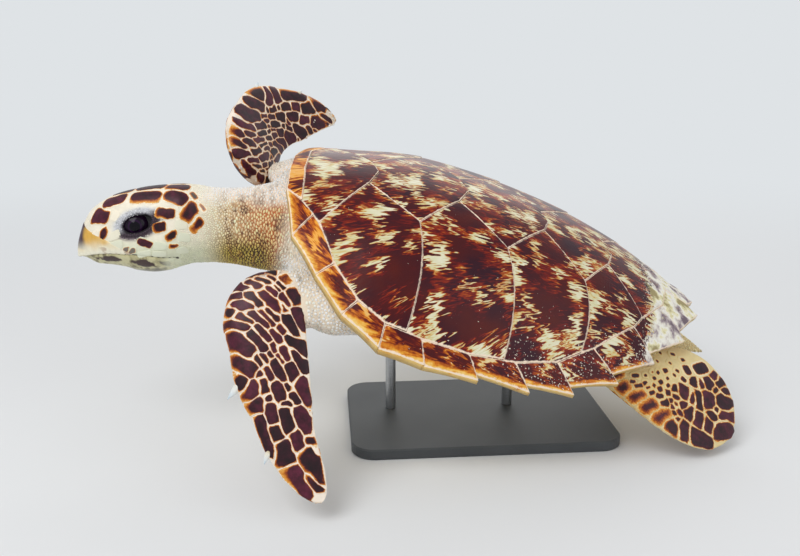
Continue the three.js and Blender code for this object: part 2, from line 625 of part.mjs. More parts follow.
// Place along the level frame, half-width, half-height, height of the middle, share of the bank
const NECK_ROWS = [
  [-100, 30, 38, -17.5, 0], [-84, 34.5, 42.5, -17.5, 0], [-62, 35, 42, -19.5, 0.1],
  [-43, 37, 43, -21.5, 0.25], [-21, 42, 46, -23.5, 0.5], [-3, 49, 49, -23, 0.8],
  [20, 58, 47, -22, 1], [50, 62, 42, -26, 1],
];
const neckPlan = curves(NECK_ROWS);
const neckShape = net(10, 18, (v, column, angle) => {
  const [first, last] = [NECK_ROWS[0][0], NECK_ROWS[NECK_ROWS.length - 1][0]];
  const place = lerp(first, last, v);
  const [, half, high, middle, share] = neckPlan(place);
  const open = v === 0 || v === 1 ? 0 : 1;
  const roll = degToRad(BANK) * share;
  const [wide, up] = [open * half * Math.cos(angle), open * high * Math.sin(angle)];
  return fromLevel(
    place, wide * Math.cos(roll) - up * Math.sin(roll), middle + wide * Math.sin(roll) + up * Math.cos(roll));
});
const headRoom = solid(headShape(GAP).applyMatrix4(untilt));
const neck = [headRoom, trunkRoom, shellRoom, plastronRoom]
  .reduce((shape, room) => shape.subtract(room), solid(neckShape));
addMesh(body, 'neck', neck, SKIN);

// ---- display stand: a painted steel base and two steel rods up to the plastron ----

const stand = new THREE.Group();
turtle.add(stand);
const { length, width, height, corner, bevel } = BASE;
const [halfX, halfY] = [length / 2 - bevel, width / 2 - bevel];
const basePlan = new THREE.Shape();
basePlan.moveTo(corner - halfX, -halfY);
basePlan.lineTo(halfX - corner, -halfY);
basePlan.absarc(halfX - corner, corner - halfY, corner, -Math.PI / 2, 0, false);
basePlan.absarc(halfX - corner, halfY - corner, corner, 0, Math.PI / 2, false);
basePlan.absarc(corner - halfX, halfY - corner, corner, Math.PI / 2, Math.PI, false);
basePlan.absarc(corner - halfX, corner - halfY, corner, Math.PI, 1.5 * Math.PI, false);
const base = new THREE.ExtrudeGeometry(basePlan, {
  depth: height - 2 * bevel, bevelSize: bevel, bevelThickness: bevel, bevelSegments: 1, curveSegments: 4,
});
base.translate(0, 0, bevel);
addMesh(stand, 'stand_base', solid(base), STAND_PAINT);

const bodyToStand = new THREE.Matrix4().makeTranslation(BODY_X, 0, BODY_LIFT).multiply(tilt);
const plastronInPlace = plastronRoom.transform(bodyToStand.elements);
for (const end of ['front', 'rear']) {
  const [x, y, top] = ROD[end];
  const rod = new THREE.CylinderGeometry(ROD.radius, ROD.radius, top - height - GAP, 20);
  rod.rotateX(Math.PI / 2);
  rod.translate(x, y, (top + height + GAP) / 2);
  addMesh(stand, `stand_rod_${end}`, solid(rod).subtract(plastronInPlace), STAND_STEEL);
}

export default turtle;
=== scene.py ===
import math

import bpy
import numpy as np
from mathutils import Matrix, Vector


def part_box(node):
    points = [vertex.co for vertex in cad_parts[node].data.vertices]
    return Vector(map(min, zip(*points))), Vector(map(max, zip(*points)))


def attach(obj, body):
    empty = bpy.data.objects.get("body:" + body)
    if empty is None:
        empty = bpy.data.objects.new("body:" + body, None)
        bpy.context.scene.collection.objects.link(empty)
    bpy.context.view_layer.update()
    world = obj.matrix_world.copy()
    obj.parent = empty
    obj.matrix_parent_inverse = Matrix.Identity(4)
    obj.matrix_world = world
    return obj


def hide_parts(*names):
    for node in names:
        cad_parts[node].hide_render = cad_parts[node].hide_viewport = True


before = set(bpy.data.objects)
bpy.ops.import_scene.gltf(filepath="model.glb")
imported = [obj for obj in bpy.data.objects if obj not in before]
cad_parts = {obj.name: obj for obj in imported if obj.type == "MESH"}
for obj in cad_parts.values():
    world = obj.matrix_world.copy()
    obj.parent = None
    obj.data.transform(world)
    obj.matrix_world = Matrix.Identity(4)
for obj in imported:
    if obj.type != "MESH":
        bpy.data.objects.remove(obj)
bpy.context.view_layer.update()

# ---- The carapace: thirty-eight horny scutes ----
# Each scute is a sheet of horn grown from one corner, so its rings and streaks run out from there.
# The scutes lap over the next one to the rear, and the rim's rear ones end in teeth.

SHELL = 480.0
PITCH, BANK = math.radians(15.83), math.radians(21.14)
EYE_AT = np.array([-142.5, 19.0, -14.0])
# The turtle faces against x, so its left side is where y is negative
SIDES = ((-1, "left"), (1, "right"))

# The turtle's origin in millimetres, found from the near eye, whose place in the head is known
eye_low, eye_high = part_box("eye_left")
ORIGIN = (np.array(eye_low) + np.array(eye_high)) * 500 - EYE_AT * [1, -1, 1]
TILT = np.array([
    [math.cos(PITCH), 0, math.sin(PITCH)], [0, 1, 0], [-math.sin(PITCH), 0, math.cos(PITCH)]
]) @ np.array([
    [1, 0, 0], [0, math.cos(BANK), -math.sin(BANK)], [0, math.sin(BANK), math.cos(BANK)]
])


def from_level(points):
    """Millimetres from the turtle's origin, level: shifted to the stand's frame, in metres."""
    return (np.asarray(points) + ORIGIN) / 1000


def from_body(points):
    """Millimetres in the banked body frame: turned by the tilt, then as from_level."""
    return from_level(np.asarray(points) @ TILT.T)


def curves(rows):
    """Smooth curves through a table's rows: between two rows each value follows a cubic whose
    slope at a row is the harmonic mean of the slopes beside it, and nothing at the two ends."""
    table = np.array(rows, float)
    place, value = table[:, 0], table[:, 1:]
    rise = np.diff(value, axis=0) / np.diff(place)[:, None]
    agree = rise[:-1] * rise[1:] > 0
    slope = np.zeros_like(value)
    slope[1:-1] = np.where(agree, 2 * rise[:-1] * rise[1:] / np.where(agree, rise[:-1] + rise[1:], 1), 0)

    def at(x):
        """The values at places x, along a last axis of their own."""
        x = np.clip(np.asarray(x, float), place[0], place[-1])
        i = np.clip(np.searchsorted(place, x, side="right") - 1, 0, len(place) - 2)
        span = (place[i + 1] - place[i])[..., None]
        t = (x - place[i])[..., None] / span
        ease = t * t * (3 - 2 * t)
        bend = slope[i] * t * (1 - t) ** 2 * span - slope[i + 1] * t * t * (1 - t) * span
        return value[i] * (1 - ease) + value[i + 1] * ease + bend

    return at


CROWN = {"at": 0.339, "front": 0.104, "top": 0.171, "rear": 0.035, "rise": 1.65, "fall": 1.875, "arch": 2.14}
WIDEST = {
    "at": 0.42, "half": 0.369, "front": 0.45, "front_power": 2.2, "rear": 0.61, "rear_power": 2, "round": 0.6,
}
rim_curve = curves([
    [0, 0.073], [0.2, 0], [0.45, -0.02], [0.8, 0.004], [0.9, 0.006], [1, 0.018], [1.05, 0.02],
])


def half_width(x):
    """Half the shell's width at x: the widest half times a power of one less the distance from
    the widest place, which is scaled and raised by its own numbers to the front and rear."""
    ahead = np.clip(WIDEST["at"] - x, 0, None) / WIDEST["front"]
    behind = np.clip(x - WIDEST["at"], 0, None) / WIDEST["rear"]
    off = ahead ** WIDEST["front_power"] + behind ** WIDEST["rear_power"]
    return WIDEST["half"] * np.clip(1 - off, 0.01, 1) ** WIDEST["round"]


def crown_height(x):
    """The height of the shell's middle line: it falls from its top by a power of the distance,
    to one height at the front and another at the rear."""
    ahead = np.clip(CROWN["at"] - x, 0, None) / CROWN["at"]
    behind = np.clip(x - CROWN["at"], 0, None) / (1 - CROWN["at"])
    front = (CROWN["top"] - CROWN["front"]) * ahead ** CROWN["rise"]
    return CROWN["top"] - front - (CROWN["top"] - CROWN["rear"]) * behind ** CROWN["fall"]


def shell_height(x, y):
    """Rim height plus the crown's height over it, times one less a power of the share across."""
    across = np.clip(np.abs(y) / half_width(np.clip(x, 0, 1)), 0, 1.2)
    rim = rim_curve(x)[..., 0]
    return rim + (crown_height(np.clip(x, 0, 1.04)) - rim) * (1 - across ** CROWN["arch"])


# Corners where three scutes meet, on the right half: shares of the shell's length along and across
CORNER = {
    "front": [0.018, 0], "nuchalRear": [0.05, 0], "v1v2": [0.209, 0], "v2v3": [0.415, 0],
    "v3v4": [0.616, 0], "v4v5": [0.792, 0], "v5s": [0.955, 0], "notch": [1.022, 0],
    "nuchalOut": [0.022, 0.077], "nuchalIn": [0.058, 0.113], "v1Out": [0.103, 0.167],
    "c1v": [0.192, 0.047], "v2Out": [0.308, 0.142], "c2v": [0.393, 0.051], "v3Out": [0.509, 0.143],
    "c3v": [0.602, 0.04], "v4Out": [0.702, 0.141], "c4v": [0.774, 0.048], "v5Out": [0.862, 0.15],
    "c1c2": [0.323, 0.343], "c2c3": [0.535, 0.347], "c3c4": [0.705, 0.29],
    "in1": [0.088, 0.15], "in2": [0.152, 0.244], "in3": [0.215, 0.303], "in4": [0.278, 0.335],
    "in5": [0.357, 0.349], "in6": [0.461, 0.353], "in7": [0.561, 0.345], "in8": [0.654, 0.322],
    "in9": [0.735, 0.272], "in10": [0.838, 0.184], "in11": [0.93, 0.075],
    "out1": [0.055, 0.194], "out2": [0.12, 0.264], "out3": [0.189, 0.322], "out4": [0.276, 0.37],
    "out5": [0.374, 0.384], "out6": [0.491, 0.386], "out7": [0.605, 0.381], "out8": [0.705, 0.36],
    "out9": [0.81, 0.306], "out10": [0.905, 0.224], "out11": [0.995, 0.13], "tip": [1.05, 0.026],
}
CORNER = {name: np.array(place) for name, place in CORNER.items()}
FIRST_TOOTH = 6
NOTCH = 0.27
for k in range(FIRST_TOOTH, 12):
    CORNER[f"next{k}"] = CORNER[f"out{k}"] * (1 - NOTCH) + CORNER[f"in{k}"] * NOTCH
# Seams that bow forwards or back, by a share of the shell's length, and the points' spacing
BOW = {
    ("v2Out", "c1c2"): 0.012, ("v3Out", "c2c3"): 0.014, ("v4Out", "c3c4"): 0.012, ("c1v", "v2Out"): -0.006,
}
STEP = 2.6


def seam(start, end, step=STEP):
    """A seam's points without its last: straight between two corners, plus a parabola's bow."""
    a, b = CORNER[start], CORNER[end]
    bow = BOW.get((start, end), BOW.get((end, start), 0))
    count = max(1, math.ceil(np.linalg.norm(b - a) * SHELL / step))
    t = np.arange(count)[:, None] / count
    return a + (b - a) * t + np.array([4 * bow, 0]) * t * (1 - t)


def outline_of(names, hand, step=STEP):
    """The seams between the named corners in turn, in millimetres, on the right or left side."""
    points = np.concatenate([seam(a, b, step) for a, b in zip(names, names[1:] + names[:1])])
    return points * SHELL * [1, hand]


def mirrored_outline(names, step=STEP):
    """The seams of the right half and then their mirror image, in millimetres."""
    half = np.concatenate([seam(a, b, step) for a, b in zip(names, names[1:])] + [CORNER[names[-1]][None]])
    return np.concatenate([half, half[1:-1][::-1] * [1, -1]]) * SHELL


def srgb(code):
    """A hex colour as linear light: each channel's share, to the power of about 2.4."""
    share = np.array([int(code[i:i + 2], 16) for i in (1, 3, 5)]) / 255
    linear = np.where(share > 0.04045, ((share + 0.055) / 1.055) ** 2.4, share / 12.92)
    return (*linear, 1.0)


def plug(tree, made, inputs):
    """Sets or links a node's inputs, found by name or, in a list, by their order among those in
    use. A value is a number, a colour's hex code, or the output of another node."""
    sockets = [socket for socket in made.inputs if socket.enabled]
    if isinstance(inputs, dict):
        sockets = [made.inputs[name] for name in inputs]
        inputs = inputs.values()
    for socket, value in zip(sockets, inputs):
        if isinstance(value, bpy.types.NodeSocket):
            tree.links.new(value, socket)
        else:
            socket.default_value = srgb(value) if str(value).startswith("#") else value


def node(tree, kind, inputs=(), output=None, stops=(), **settings):
    """Adds a node with its settings, inputs and, on a colour ramp, its (place, hex colour) stops.
    Gives the output of that name, or else the first that the settings leave in use. A shader
    node's kind leaves out the prefix ShaderNode."""
    made = tree.nodes.new(kind if "Node" in kind else "ShaderNode" + kind)
    for name, value in settings.items():
        setattr(made, name, value)
    for i, (place, colour) in enumerate(stops):
        stop = made.color_ramp.elements[i] if i < 2 else made.color_ramp.elements.new(place)
        stop.position = place
        stop.color = srgb(colour)
    plug(tree, made, inputs)
    return made.outputs[output] if output else next(socket for socket in made.outputs if socket.enabled)


def added(name, data):
    """A new object in the scene, at the origin."""
    made = bpy.data.objects.new(name, data)
    bpy.context.scene.collection.objects.link(made)
    return made


def build(name, points, tris, quads, material, **attributes):
    """A mesh from whole arrays. Its faces are turned over if they enclose a negative volume."""
    points = np.asarray(points, np.float64)
    tris = np.asarray(tris, np.int64).reshape(-1, 3)
    quads = np.asarray(quads, np.int64).reshape(-1, 4)
    corners = np.concatenate([tris, quads[:, [0, 1, 2]], quads[:, [0, 2, 3]]])
    a, b, c = (points[corners[:, k]] - points.mean(0) for k in range(3))
    if (a * np.cross(b, c)).sum() < 0:
        tris, quads = tris[:, ::-1], quads[:, ::-1]
    mesh = bpy.data.meshes.new(name)
    mesh.vertices.add(len(points))
    mesh.vertices.foreach_set("co", points.astype(np.float32).ravel())
    mesh.loops.add(tris.size + quads.size)
    mesh.loops.foreach_set("vertex_index", np.concatenate([tris.ravel(), quads.ravel()]).astype(np.int32))
    mesh.polygons.add(len(tris) + len(quads))
    starts = np.concatenate([np.arange(len(tris)) * 3, tris.size + np.arange(len(quads)) * 4])
    mesh.polygons.foreach_set("loop_start", starts.astype(np.int32))
    mesh.polygons.foreach_set("use_smooth", np.ones(len(starts), bool))
    mesh.update(calc_edges=True)
    for key, values in attributes.items():
        wide = np.ndim(values) == 2
        made = mesh.attributes.new(key, "FLOAT_VECTOR" if wide else "FLOAT", "POINT")
        made.data.foreach_set("vector" if wide else "value", np.asarray(values, np.float32).ravel())
    mesh.materials.append(material)
    return added(name, mesh)


def net_faces(count, rows, columns):
    """Faces of count closed nets, each rows by columns points and then its first and last pole."""
    size = rows * columns + 2
    base = (np.arange(count) * size)[:, None, None]
    r, c = np.arange(rows - 1)[:, None], np.arange(columns)[None, :]
    after = (c + 1) % columns
    grid = np.stack([
        r * columns + c, r * columns + after, (r + 1) * columns + after, (r + 1) * columns + c
    ], -1).reshape(1, -1, 4)
    c, after = np.arange(columns), (np.arange(columns) + 1) % columns
    last = (rows - 1) * columns
    first_fan = np.stack([np.full(columns, rows * columns), after, c], -1)
    last_fan = np.stack([np.full(columns, rows * columns + 1), last + c, last + after], -1)
    fans = np.concatenate([first_fan, last_fan])[None]
    return (base + fans).reshape(-1, 3), (base + grid).reshape(-1, 4)


def outline_distance(points, outline):
    """Each point's distance to the nearest of a closed outline's straight pieces."""
    start, along = outline, np.roll(outline, -1, axis=0) - outline
    off = points[:, None] - start[None]
    t = np.clip((off * along).sum(-1) / (along ** 2).sum(-1), 0, 1)
    return np.linalg.norm(off - t[..., None] * along, axis=-1).min(1)


def new_material(name):
    """A new material, its node tree, and the shader of its surface."""
    made = bpy.data.materials.new(name)
    made.use_nodes = True
    return made, made.node_tree, made.node_tree.nodes["Principled BSDF"]


def weighted(tree, total, *parts):
    """A value plus the sum of each part times its weight."""
    for part, weight in parts:
        total = node(tree, "Math", [part, weight, total], operation="MULTIPLY_ADD")
    return total


def laid_over(tree, under, over, value, low, high):
    """A colour over another by a share that rises smoothly as a value goes from low to high."""
    share = node(tree, "MapRange", [value, low, high], interpolation_type="SMOOTHSTEP")
    return node(tree, "Mix", [share, under, over], data_type="RGBA")


# Horn sheet, grown and sea-polished: red-brown streaks and cream flames run out from where the
# scute grew, under a wet gloss. The rear scutes wear a pale, matt crust.
horn, tree, surface = new_material("scute horn, sea-polished")
place = node(tree, "TexCoord", output="Object")
streak = node(tree, "Attribute", output="Vector", attribute_name="streak")
pale, amber, lip, worn, rim, under = (
    node(tree, "Attribute", output="Fac", attribute_name=name)
    for name in ("pale", "amber", "lip", "worn", "rim", "under"))
# A noise takes its vector, scale, detail and roughness. Streaks are in millimetres and places in
# metres, so a scale of 1 / 15 on the first and 1000 / 15 on the other has lumps 15 mm across.
lengthwise = node(tree, "Mapping", {"Vector": streak, "Scale": (1.0, 1.0, 0.15)})
teeth = node(tree, "TexNoise", [lengthwise, 1 / 3.2, 2.0, 0.6])
wisps = node(tree, "TexNoise", [lengthwise, 1 / 1.4, 2.0, 0.6])
shift = node(tree, "CombineXYZ", {"Z": weighted(tree, 0.0, (teeth, 60.0))})
jagged = node(tree, "VectorMath", [streak, shift], operation="ADD")
banded = node(tree, "Mapping", {"Vector": jagged, "Scale": (0.6, 0.6, 1.0)})
flames = node(tree, "TexNoise", [banded, 1 / 15, 1.0, 0.4])
mottle = weighted(tree, pale, (flames, 0.70), (teeth, 0.14), (wisps, 0.16))
spread_out = node(tree, "MapRange", [mottle, 0.28, 0.74], interpolation_type="SMOOTHSTEP")
dark_to_cream = node(tree, "ValToRGB", [spread_out], stops=[
    (0.0, "#2c0612"), (0.36, "#4c0a10"), (0.52, "#74170e"), (0.60, "#9c380e"),
    (0.65, "#b9681c"), (0.69, "#d2b670"), (0.78, "#d3cfa4"), (1.0, "#e6e2cc")])
clouds = node(tree, "TexNoise", [place, 1000 / 50, 2.0, 0.5])
plum = node(tree, "ValToRGB", [clouds], stops=[(0.35, "#500e08"), (0.62, "#300517")])
dark_to_cream = laid_over(tree, dark_to_cream, plum, mottle, 0.50, 0.42)
spread_out = node(tree, "MapRange", [mottle, 0.28, 0.66], interpolation_type="SMOOTHSTEP")
amber_tones = node(tree, "ValToRGB", [spread_out], stops=[
    (0.0, "#3a0a0a"), (0.48, "#691608"), (0.60, "#9a3a08"), (0.70, "#d47412"), (0.88, "#f0a630")])
colour = node(tree, "Mix", [amber, dark_to_cream, amber_tones], data_type="RGBA")

# The free edge's amber lip, grit, crust, bare edge and straw-yellow underside, one over another
fine = node(tree, "TexNoise", [place, 1000 / 4, 4.0, 0.6])
lip = node(tree, "Math", [lip, 1.4], operation="SUBTRACT")
lip = weighted(tree, lip, (fine, 0.9), (teeth, 1.9))
lip_colour = node(tree, "ValToRGB", [lip], stops=[
    (0.0, "#efc873"), (0.3, "#e6a83e"), (0.6, "#c96f17"), (0.95, "#84300e")])
colour = laid_over(tree, colour, lip_colour, lip, 1.1, 0.75)
grit = weighted(tree, node(tree, "TexNoise", [place, 1000 / 2, 1.0, 0.5]), (worn, 0.5))
colour = laid_over(tree, colour, "#e4dccb", grit, 0.79, 0.84)
mould = node(tree, "TexNoise", [place, 1000 / 24, 5.0, 0.55])
crust = weighted(tree, worn, (fine, 0.5), (mould, 0.6))
crust_share = node(tree, "MapRange", [crust, 0.98, 1.12], interpolation_type="SMOOTHSTEP")
crust_colour = node(tree, "ValToRGB", [mould], stops=[
    (0.36, "#74666f"), (0.42, "#b0a3a6"), (0.46, "#ddd6cb"), (0.52, "#f3f1e8"), (0.57, "#e6dfb4"),
    (0.64, "#a3966b")])
colour = node(tree, "Mix", [crust_share, colour, crust_colour], data_type="RGBA")
colour = laid_over(tree, colour, "#f6e2cc", weighted(tree, rim, (fine, 2.4)), 2.4, 1.6)
straw = node(tree, "Mix", [mottle, "#e6cf96", "#d9b069"], data_type="RGBA")
colour = node(tree, "Mix", [under, colour, straw], data_type="RGBA")
rough = node(tree, "Math", [crust_share, 0.15], operation="ADD")
rough = node(tree, "Math", [fine, rough], operation="MULTIPLY")
height = weighted(tree, rough, (flames, 0.4))
plug(tree, surface, {
    "Base Color": colour, "Specular IOR Level": 0.18, "Coat Weight": 0.06, "Coat Roughness": 0.2,
    "Roughness": node(tree, "MapRange", {"Value": crust_share, "To Min": 0.30, "To Max": 0.75}),
    "Normal": node(tree, "Bump", {"Height": height, "Distance": 0.0012, "Strength": 0.7})})

PLATE = {"thickness": 5, "seam": 0.3, "lap": 1.6, "edge": 1.8, "round": 0.9, "ripple": 3.4, "relief": 0.05}
rim_thickness = curves([[0, 6], [0.2, 8], [0.32, 8], [0.45, 5], [0.7, 4], [1.1, 3.5]])
RINGS = np.concatenate([np.linspace(0.05, 0.9, 22), [0.925, 0.95, 0.97, 0.985, 0.995, 1.0]])
UNDER_RINGS = np.array([1.0, 0.7, 0.35])


def scute(name, outline, thickness, grown_from, amber=0.0, outer=None, seed=0.0, fan=150.0):
    """A plate over its outline in plan: rings from the middle out. Its height is the shell's, plus
    a lap that grows with the square of the share to the rear, less a round at the edge. A point's
    streak is its angle, on a circle, and its distance about a place a fan's length behind where
    the scute grew."""
    middle = outline.mean(0)
    spoke = outline - middle
    inset = 1 - PLATE["seam"] / 2 / np.linalg.norm(spoke, axis=1)
    reach = np.concatenate([RINGS, UNDER_RINGS])
    plan = middle + reach[:, None, None] * (spoke * inset[:, None])
    plan = np.concatenate([plan.reshape(-1, 2), [middle, middle]])
    under = np.concatenate([np.repeat(np.arange(len(reach)) >= len(RINGS), len(outline)), [False, True]])
    away = outline_distance(plan, outline)
    start, end = outline[:, 0].min(), outline[:, 0].max()
    x, y = plan.T / SHELL
    height = SHELL * shell_height(x, y)
    lap = PLATE["lap"] * np.clip((plan[:, 0] - start) / (end - start), 0, 1) ** 2
    rounding = PLATE["round"] * np.clip(1 - away / PLATE["edge"], 0, 1) ** 2
    grown = plan - grown_from
    radius = np.linalg.norm(grown, axis=1)
    ripple = PLATE["relief"] * np.sin(2 * np.pi * radius / PLATE["ripple"]) * np.clip(away / 6, 0, 1)
    top = height + lap - rounding + ripple - PLATE["relief"]
    bottom = height - thickness(x)
    z = np.where(under, bottom, top)
    behind = grown + [-fan, 0]
    angle = np.arctan2(behind[:, 1], behind[:, 0])
    distance = np.linalg.norm(behind, axis=1)
    turn = distance.mean()
    streaks = np.stack([turn * np.cos(angle), turn * np.sin(angle), distance + seed], 1)
    lip = np.full(len(plan), 9.0) if outer is None else outline_distance(plan, outer) / (3.6 + 5 * amber)
    down = np.clip((np.abs(y) / half_width(x) - 0.62) / 0.3, 0, 1)
    worn = np.clip((x - 0.845) / 0.07, 0, 1) * 0.62 + 0.28 * down * np.clip((x - 0.3) / 0.3, 0, 1)
    tris, quads = net_faces(1, len(reach), len(outline))
    made = build(name + "_horn", from_body(np.column_stack([plan, z])), tris, quads, horn,
                 streak=streaks, rim=away + 9 * under, worn=worn, under=under, lip=lip,
                 amber=np.full(len(plan), amber), pale=np.full(len(plan), 0.015 * math.cos(seed)))
    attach(made, "root")
    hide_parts(name)


def even_thickness(x):
    """The thickness of the scutes inside the rim, the same all over."""
    return np.full_like(x, PLATE["thickness"])


def margin_thickness(x):
    """The thickness of the rim's scutes, which follows its curve along the shell."""
    return rim_thickness(x)[..., 0]


MIDLINE = {
    "nuchal": ["front", "nuchalOut", "nuchalIn", "nuchalRear"],
    "vertebral_1": ["nuchalRear", "nuchalIn", "in1", "v1Out", "c1v", "v1v2"],
    "vertebral_2": ["v1v2", "c1v", "v2Out", "c2v", "v2v3"],
    "vertebral_3": ["v2v3", "c2v", "v3Out", "c3v", "v3v4"],
    "vertebral_4": ["v3v4", "c3v", "v4Out", "c4v", "v4v5"],
    "vertebral_5": ["v4v5", "c4v", "v5Out", "in11", "v5s"],
}
for n, (name, corners) in enumerate(MIDLINE.items()):
    outline = mirrored_outline(corners)
    rear = CORNER[corners[-1]] * SHELL - [8, 0]
    amber = 0.8 if name == "nuchal" else 0.0
    scute(name, outline, even_thickness, rear, amber, seed=37.0 * n)

COSTAL = [
    ["v1Out", "c1v", "v2Out", "c1c2", "in4", "in3", "in2"],
    ["v2Out", "c2v", "v3Out", "c2c3", "in6", "in5", "c1c2"],
    ["v3Out", "c3v", "v4Out", "c3c4", "in8", "in7", "c2c3"],
    ["v4Out", "c4v", "v5Out", "in10", "in9", "c3c4"],
]
MARGINAL_INNER = [
    ["nuchalIn", "in1"], ["in1", "v1Out", "in2"], ["in2", "in3"], ["in3", "in4"], ["in4", "c1c2", "in5"],
    ["in5", "in6"], ["in6", "c2c3", "in7"], ["in7", "in8"], ["in8", "c3c4", "in9"], ["in9", "in10"],
    ["in10", "v5Out", "in11"],
]
for hand, side in SIDES:
    for i, corners in enumerate(COSTAL):
        grown_from = (CORNER[corners[2]] * 0.75 + CORNER[corners[1]] * 0.25) * SHELL * [1, hand]
        scute(f"costal_{side}_{i + 1}", outline_of(corners, hand), even_thickness, grown_from,
              seed=61.0 * i + 9 * hand + 200)
    for i, inner in enumerate(MARGINAL_INNER):
        k = i + 1
        begin = "nuchalOut" if i == 0 else (f"next{i}" if i >= FIRST_TOOTH else f"out{i}")
        rear = [f"next{k}", f"out{k}"] if k >= FIRST_TOOTH else [f"out{k}"]
        corners = inner + rear + [begin]
        ends = np.array([CORNER[f"out{k}"], CORNER[begin]]) * SHELL * [1, hand]
        amber = float(np.clip(1.15 - 0.13 * k, 0, 0.9))
        scute(f"marginal_{side}_{k}", outline_of(corners, hand), margin_thickness,
              CORNER[f"out{k}"] * SHELL * [1, hand] * 0.98,
              amber, outer=ends, seed=17.0 * k + 5 * hand + 500, fan=25.0)
    scute(f"supracaudal_{side}", outline_of(["v5s", "in11", "next11", "tip", "notch"], hand), even_thickness,
          CORNER["tip"] * SHELL * [1, hand], seed=900.0 + hand)

# ---- The plastron: the belly's plates ----
# Six pairs of cream scutes under the chest and belly, joined to the rim by a bridge on each side.
# It is one piece: the seams between the pairs are grooves, and the middle seam runs its length.

BELLY_ROUND = {"power": 6, "reach": 0.96}
keel_curve = curves([
    [0, -0.07], [0.08, -0.105], [0.2, -0.138], [0.45, -0.155],
    [0.7, -0.138], [0.85, -0.1], [0.95, -0.055], [1.02, -0.01],
])
PLASTRON = {
    "thickness": 8, "half_bridge": 0.315, "bridge_from": 0.34, "bridge_to": 0.6, "bridge_out": 0.262,
    "round": 1.4, "seams": ((0.15, 0.05), (0.245, -0.02), (0.40, -0.025), (0.545, 0.02), (0.70, 0.035)),
    "seam_width": 1.1, "seam_depth": 0.9,
}
plastron_width = curves([
    [0.09, 0.04], [0.13, 0.13], [0.2, 0.2], [0.29, 0.24], [PLASTRON["bridge_from"], PLASTRON["half_bridge"]],
    [PLASTRON["bridge_to"], PLASTRON["half_bridge"]], [0.66, 0.235], [0.74, 0.17],
    [0.83, 0.11], [0.89, 0.035],
])


def belly_height(x, y):
    """From the keel line to the rim's height by a power of the share across, all as shares."""
    across = np.clip(np.abs(y) / (BELLY_ROUND["reach"] * half_width(np.clip(x, 0, 1))), 0, 1)
    share = across ** BELLY_ROUND["power"]
    return keel_curve(x)[..., 0] * (1 - share) + rim_curve(x)[..., 0] * share


def groove(away, width):
    """A round-bottomed groove: one in its middle, falling by a bell curve over its width."""
    return np.exp(-(away / width) ** 2)


# Belly horn, thinner than a scute's and scrubbed by sand: cloudy cream with brown seams, and satin
belly_horn, tree, surface = new_material("belly horn, satin")
place = node(tree, "TexCoord", output="Object")
cloud = node(tree, "TexNoise", [place, 1000 / 35, 3.0, 0.6])
fine = node(tree, "TexNoise", [place, 1000 / 3, 3.0, 0.6])
colour = node(tree, "ValToRGB", [cloud], stops=[
    (0.3, "#c9a862"), (0.48, "#e3cd95"), (0.62, "#efe0b6"), (0.8, "#f3e9cd")])
in_seam = node(tree, "Attribute", output="Fac", attribute_name="groove")
colour = node(tree, "Mix", [in_seam, colour, "#a98950"], data_type="RGBA")
plug(tree, surface, {
    "Base Color": colour, "Roughness": 0.42, "IOR": 1.54,
    "Normal": node(tree, "Bump", {"Height": fine, "Distance": 0.0004, "Strength": 0.5})})

places = np.linspace(0.09, 0.89, 240)
half = np.column_stack([places, plastron_width(places)[:, 0]])
plastron_outline = np.concatenate([half, half[::-1] * [1, -1]]) * SHELL
rings = np.concatenate([np.linspace(0.02, 0.96, 48), [0.975, 0.988, 0.996, 1.0]])
reach = np.concatenate([rings, [1.0, 0.6, 0.3]])
middle = plastron_outline.mean(0)
plan = middle + reach[:, None, None] * (plastron_outline - middle)
plan = np.concatenate([plan.reshape(-1, 2), [middle, middle]])
inner = np.concatenate([np.repeat(np.arange(len(reach)) >= len(rings), len(plastron_outline)), [False, True]])
x, y = plan.T / SHELL
away = outline_distance(plan, plastron_outline[::4])
cross = np.full(len(plan), 99.0)
for seam_at, sweep in PLASTRON["seams"]:
    cross = np.minimum(cross, np.abs(x - seam_at - sweep * np.abs(y) / 0.3) * SHELL)
bridge = np.abs(np.abs(y) - PLASTRON["bridge_out"]) * SHELL + 99 * (np.abs(x - 0.47) > 0.14)
furrow = groove(np.minimum.reduce([cross, np.abs(y) * SHELL, bridge]), PLASTRON["seam_width"])
depth = PLASTRON["seam_depth"] * furrow * np.clip(away / 4, 0, 1)
bottom = SHELL * belly_height(x, y) + depth + PLASTRON["round"] * np.clip(1 - away / 3, 0, 1) ** 2
z = np.where(inner, SHELL * belly_height(x, y) + PLASTRON["thickness"], bottom)
tris, quads = net_faces(1, len(reach), len(plastron_outline))
points = from_body(np.column_stack([plan, z]))
plastron = build("plastron_horn", points, tris, quads, belly_horn, groove=furrow)
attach(plastron, "root")
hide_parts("plastron")

# ---- The skin: head, neck, trunk, limbs and tail as one hide ----
# Each part is a net of rounded sections on its own line. The nets are joined into one skin, and
# the joins are smoothed as flesh would be. It lies under the solids' surface by the coat's depth.

COAT = 0.8


def lumps(points, size, seed=0):
    """Cloud values from -1 to 1: random numbers on a lattice of the given size, blended smoothly."""
    at = np.asarray(points, float) / size + 64.37 * (seed + 1)
    cell = np.floor(at).astype(np.int64)
    share = at - cell
    share = share * share * (3 - 2 * share)
    total = 0
    for corner in np.ndindex(2, 2, 2):
        i, j, k = np.moveaxis(cell + corner, -1, 0)
        mixed = (i * 73856093) ^ (j * 19349663) ^ (k * 83492791)
        mixed = (mixed ^ (mixed >> 13)) * 1274126177 & 0x7FFFFFFF
        weight = np.where(corner, share, 1 - share).prod(-1)
        total = total + weight * (mixed % 10007) / 5003.0
    return total - 1


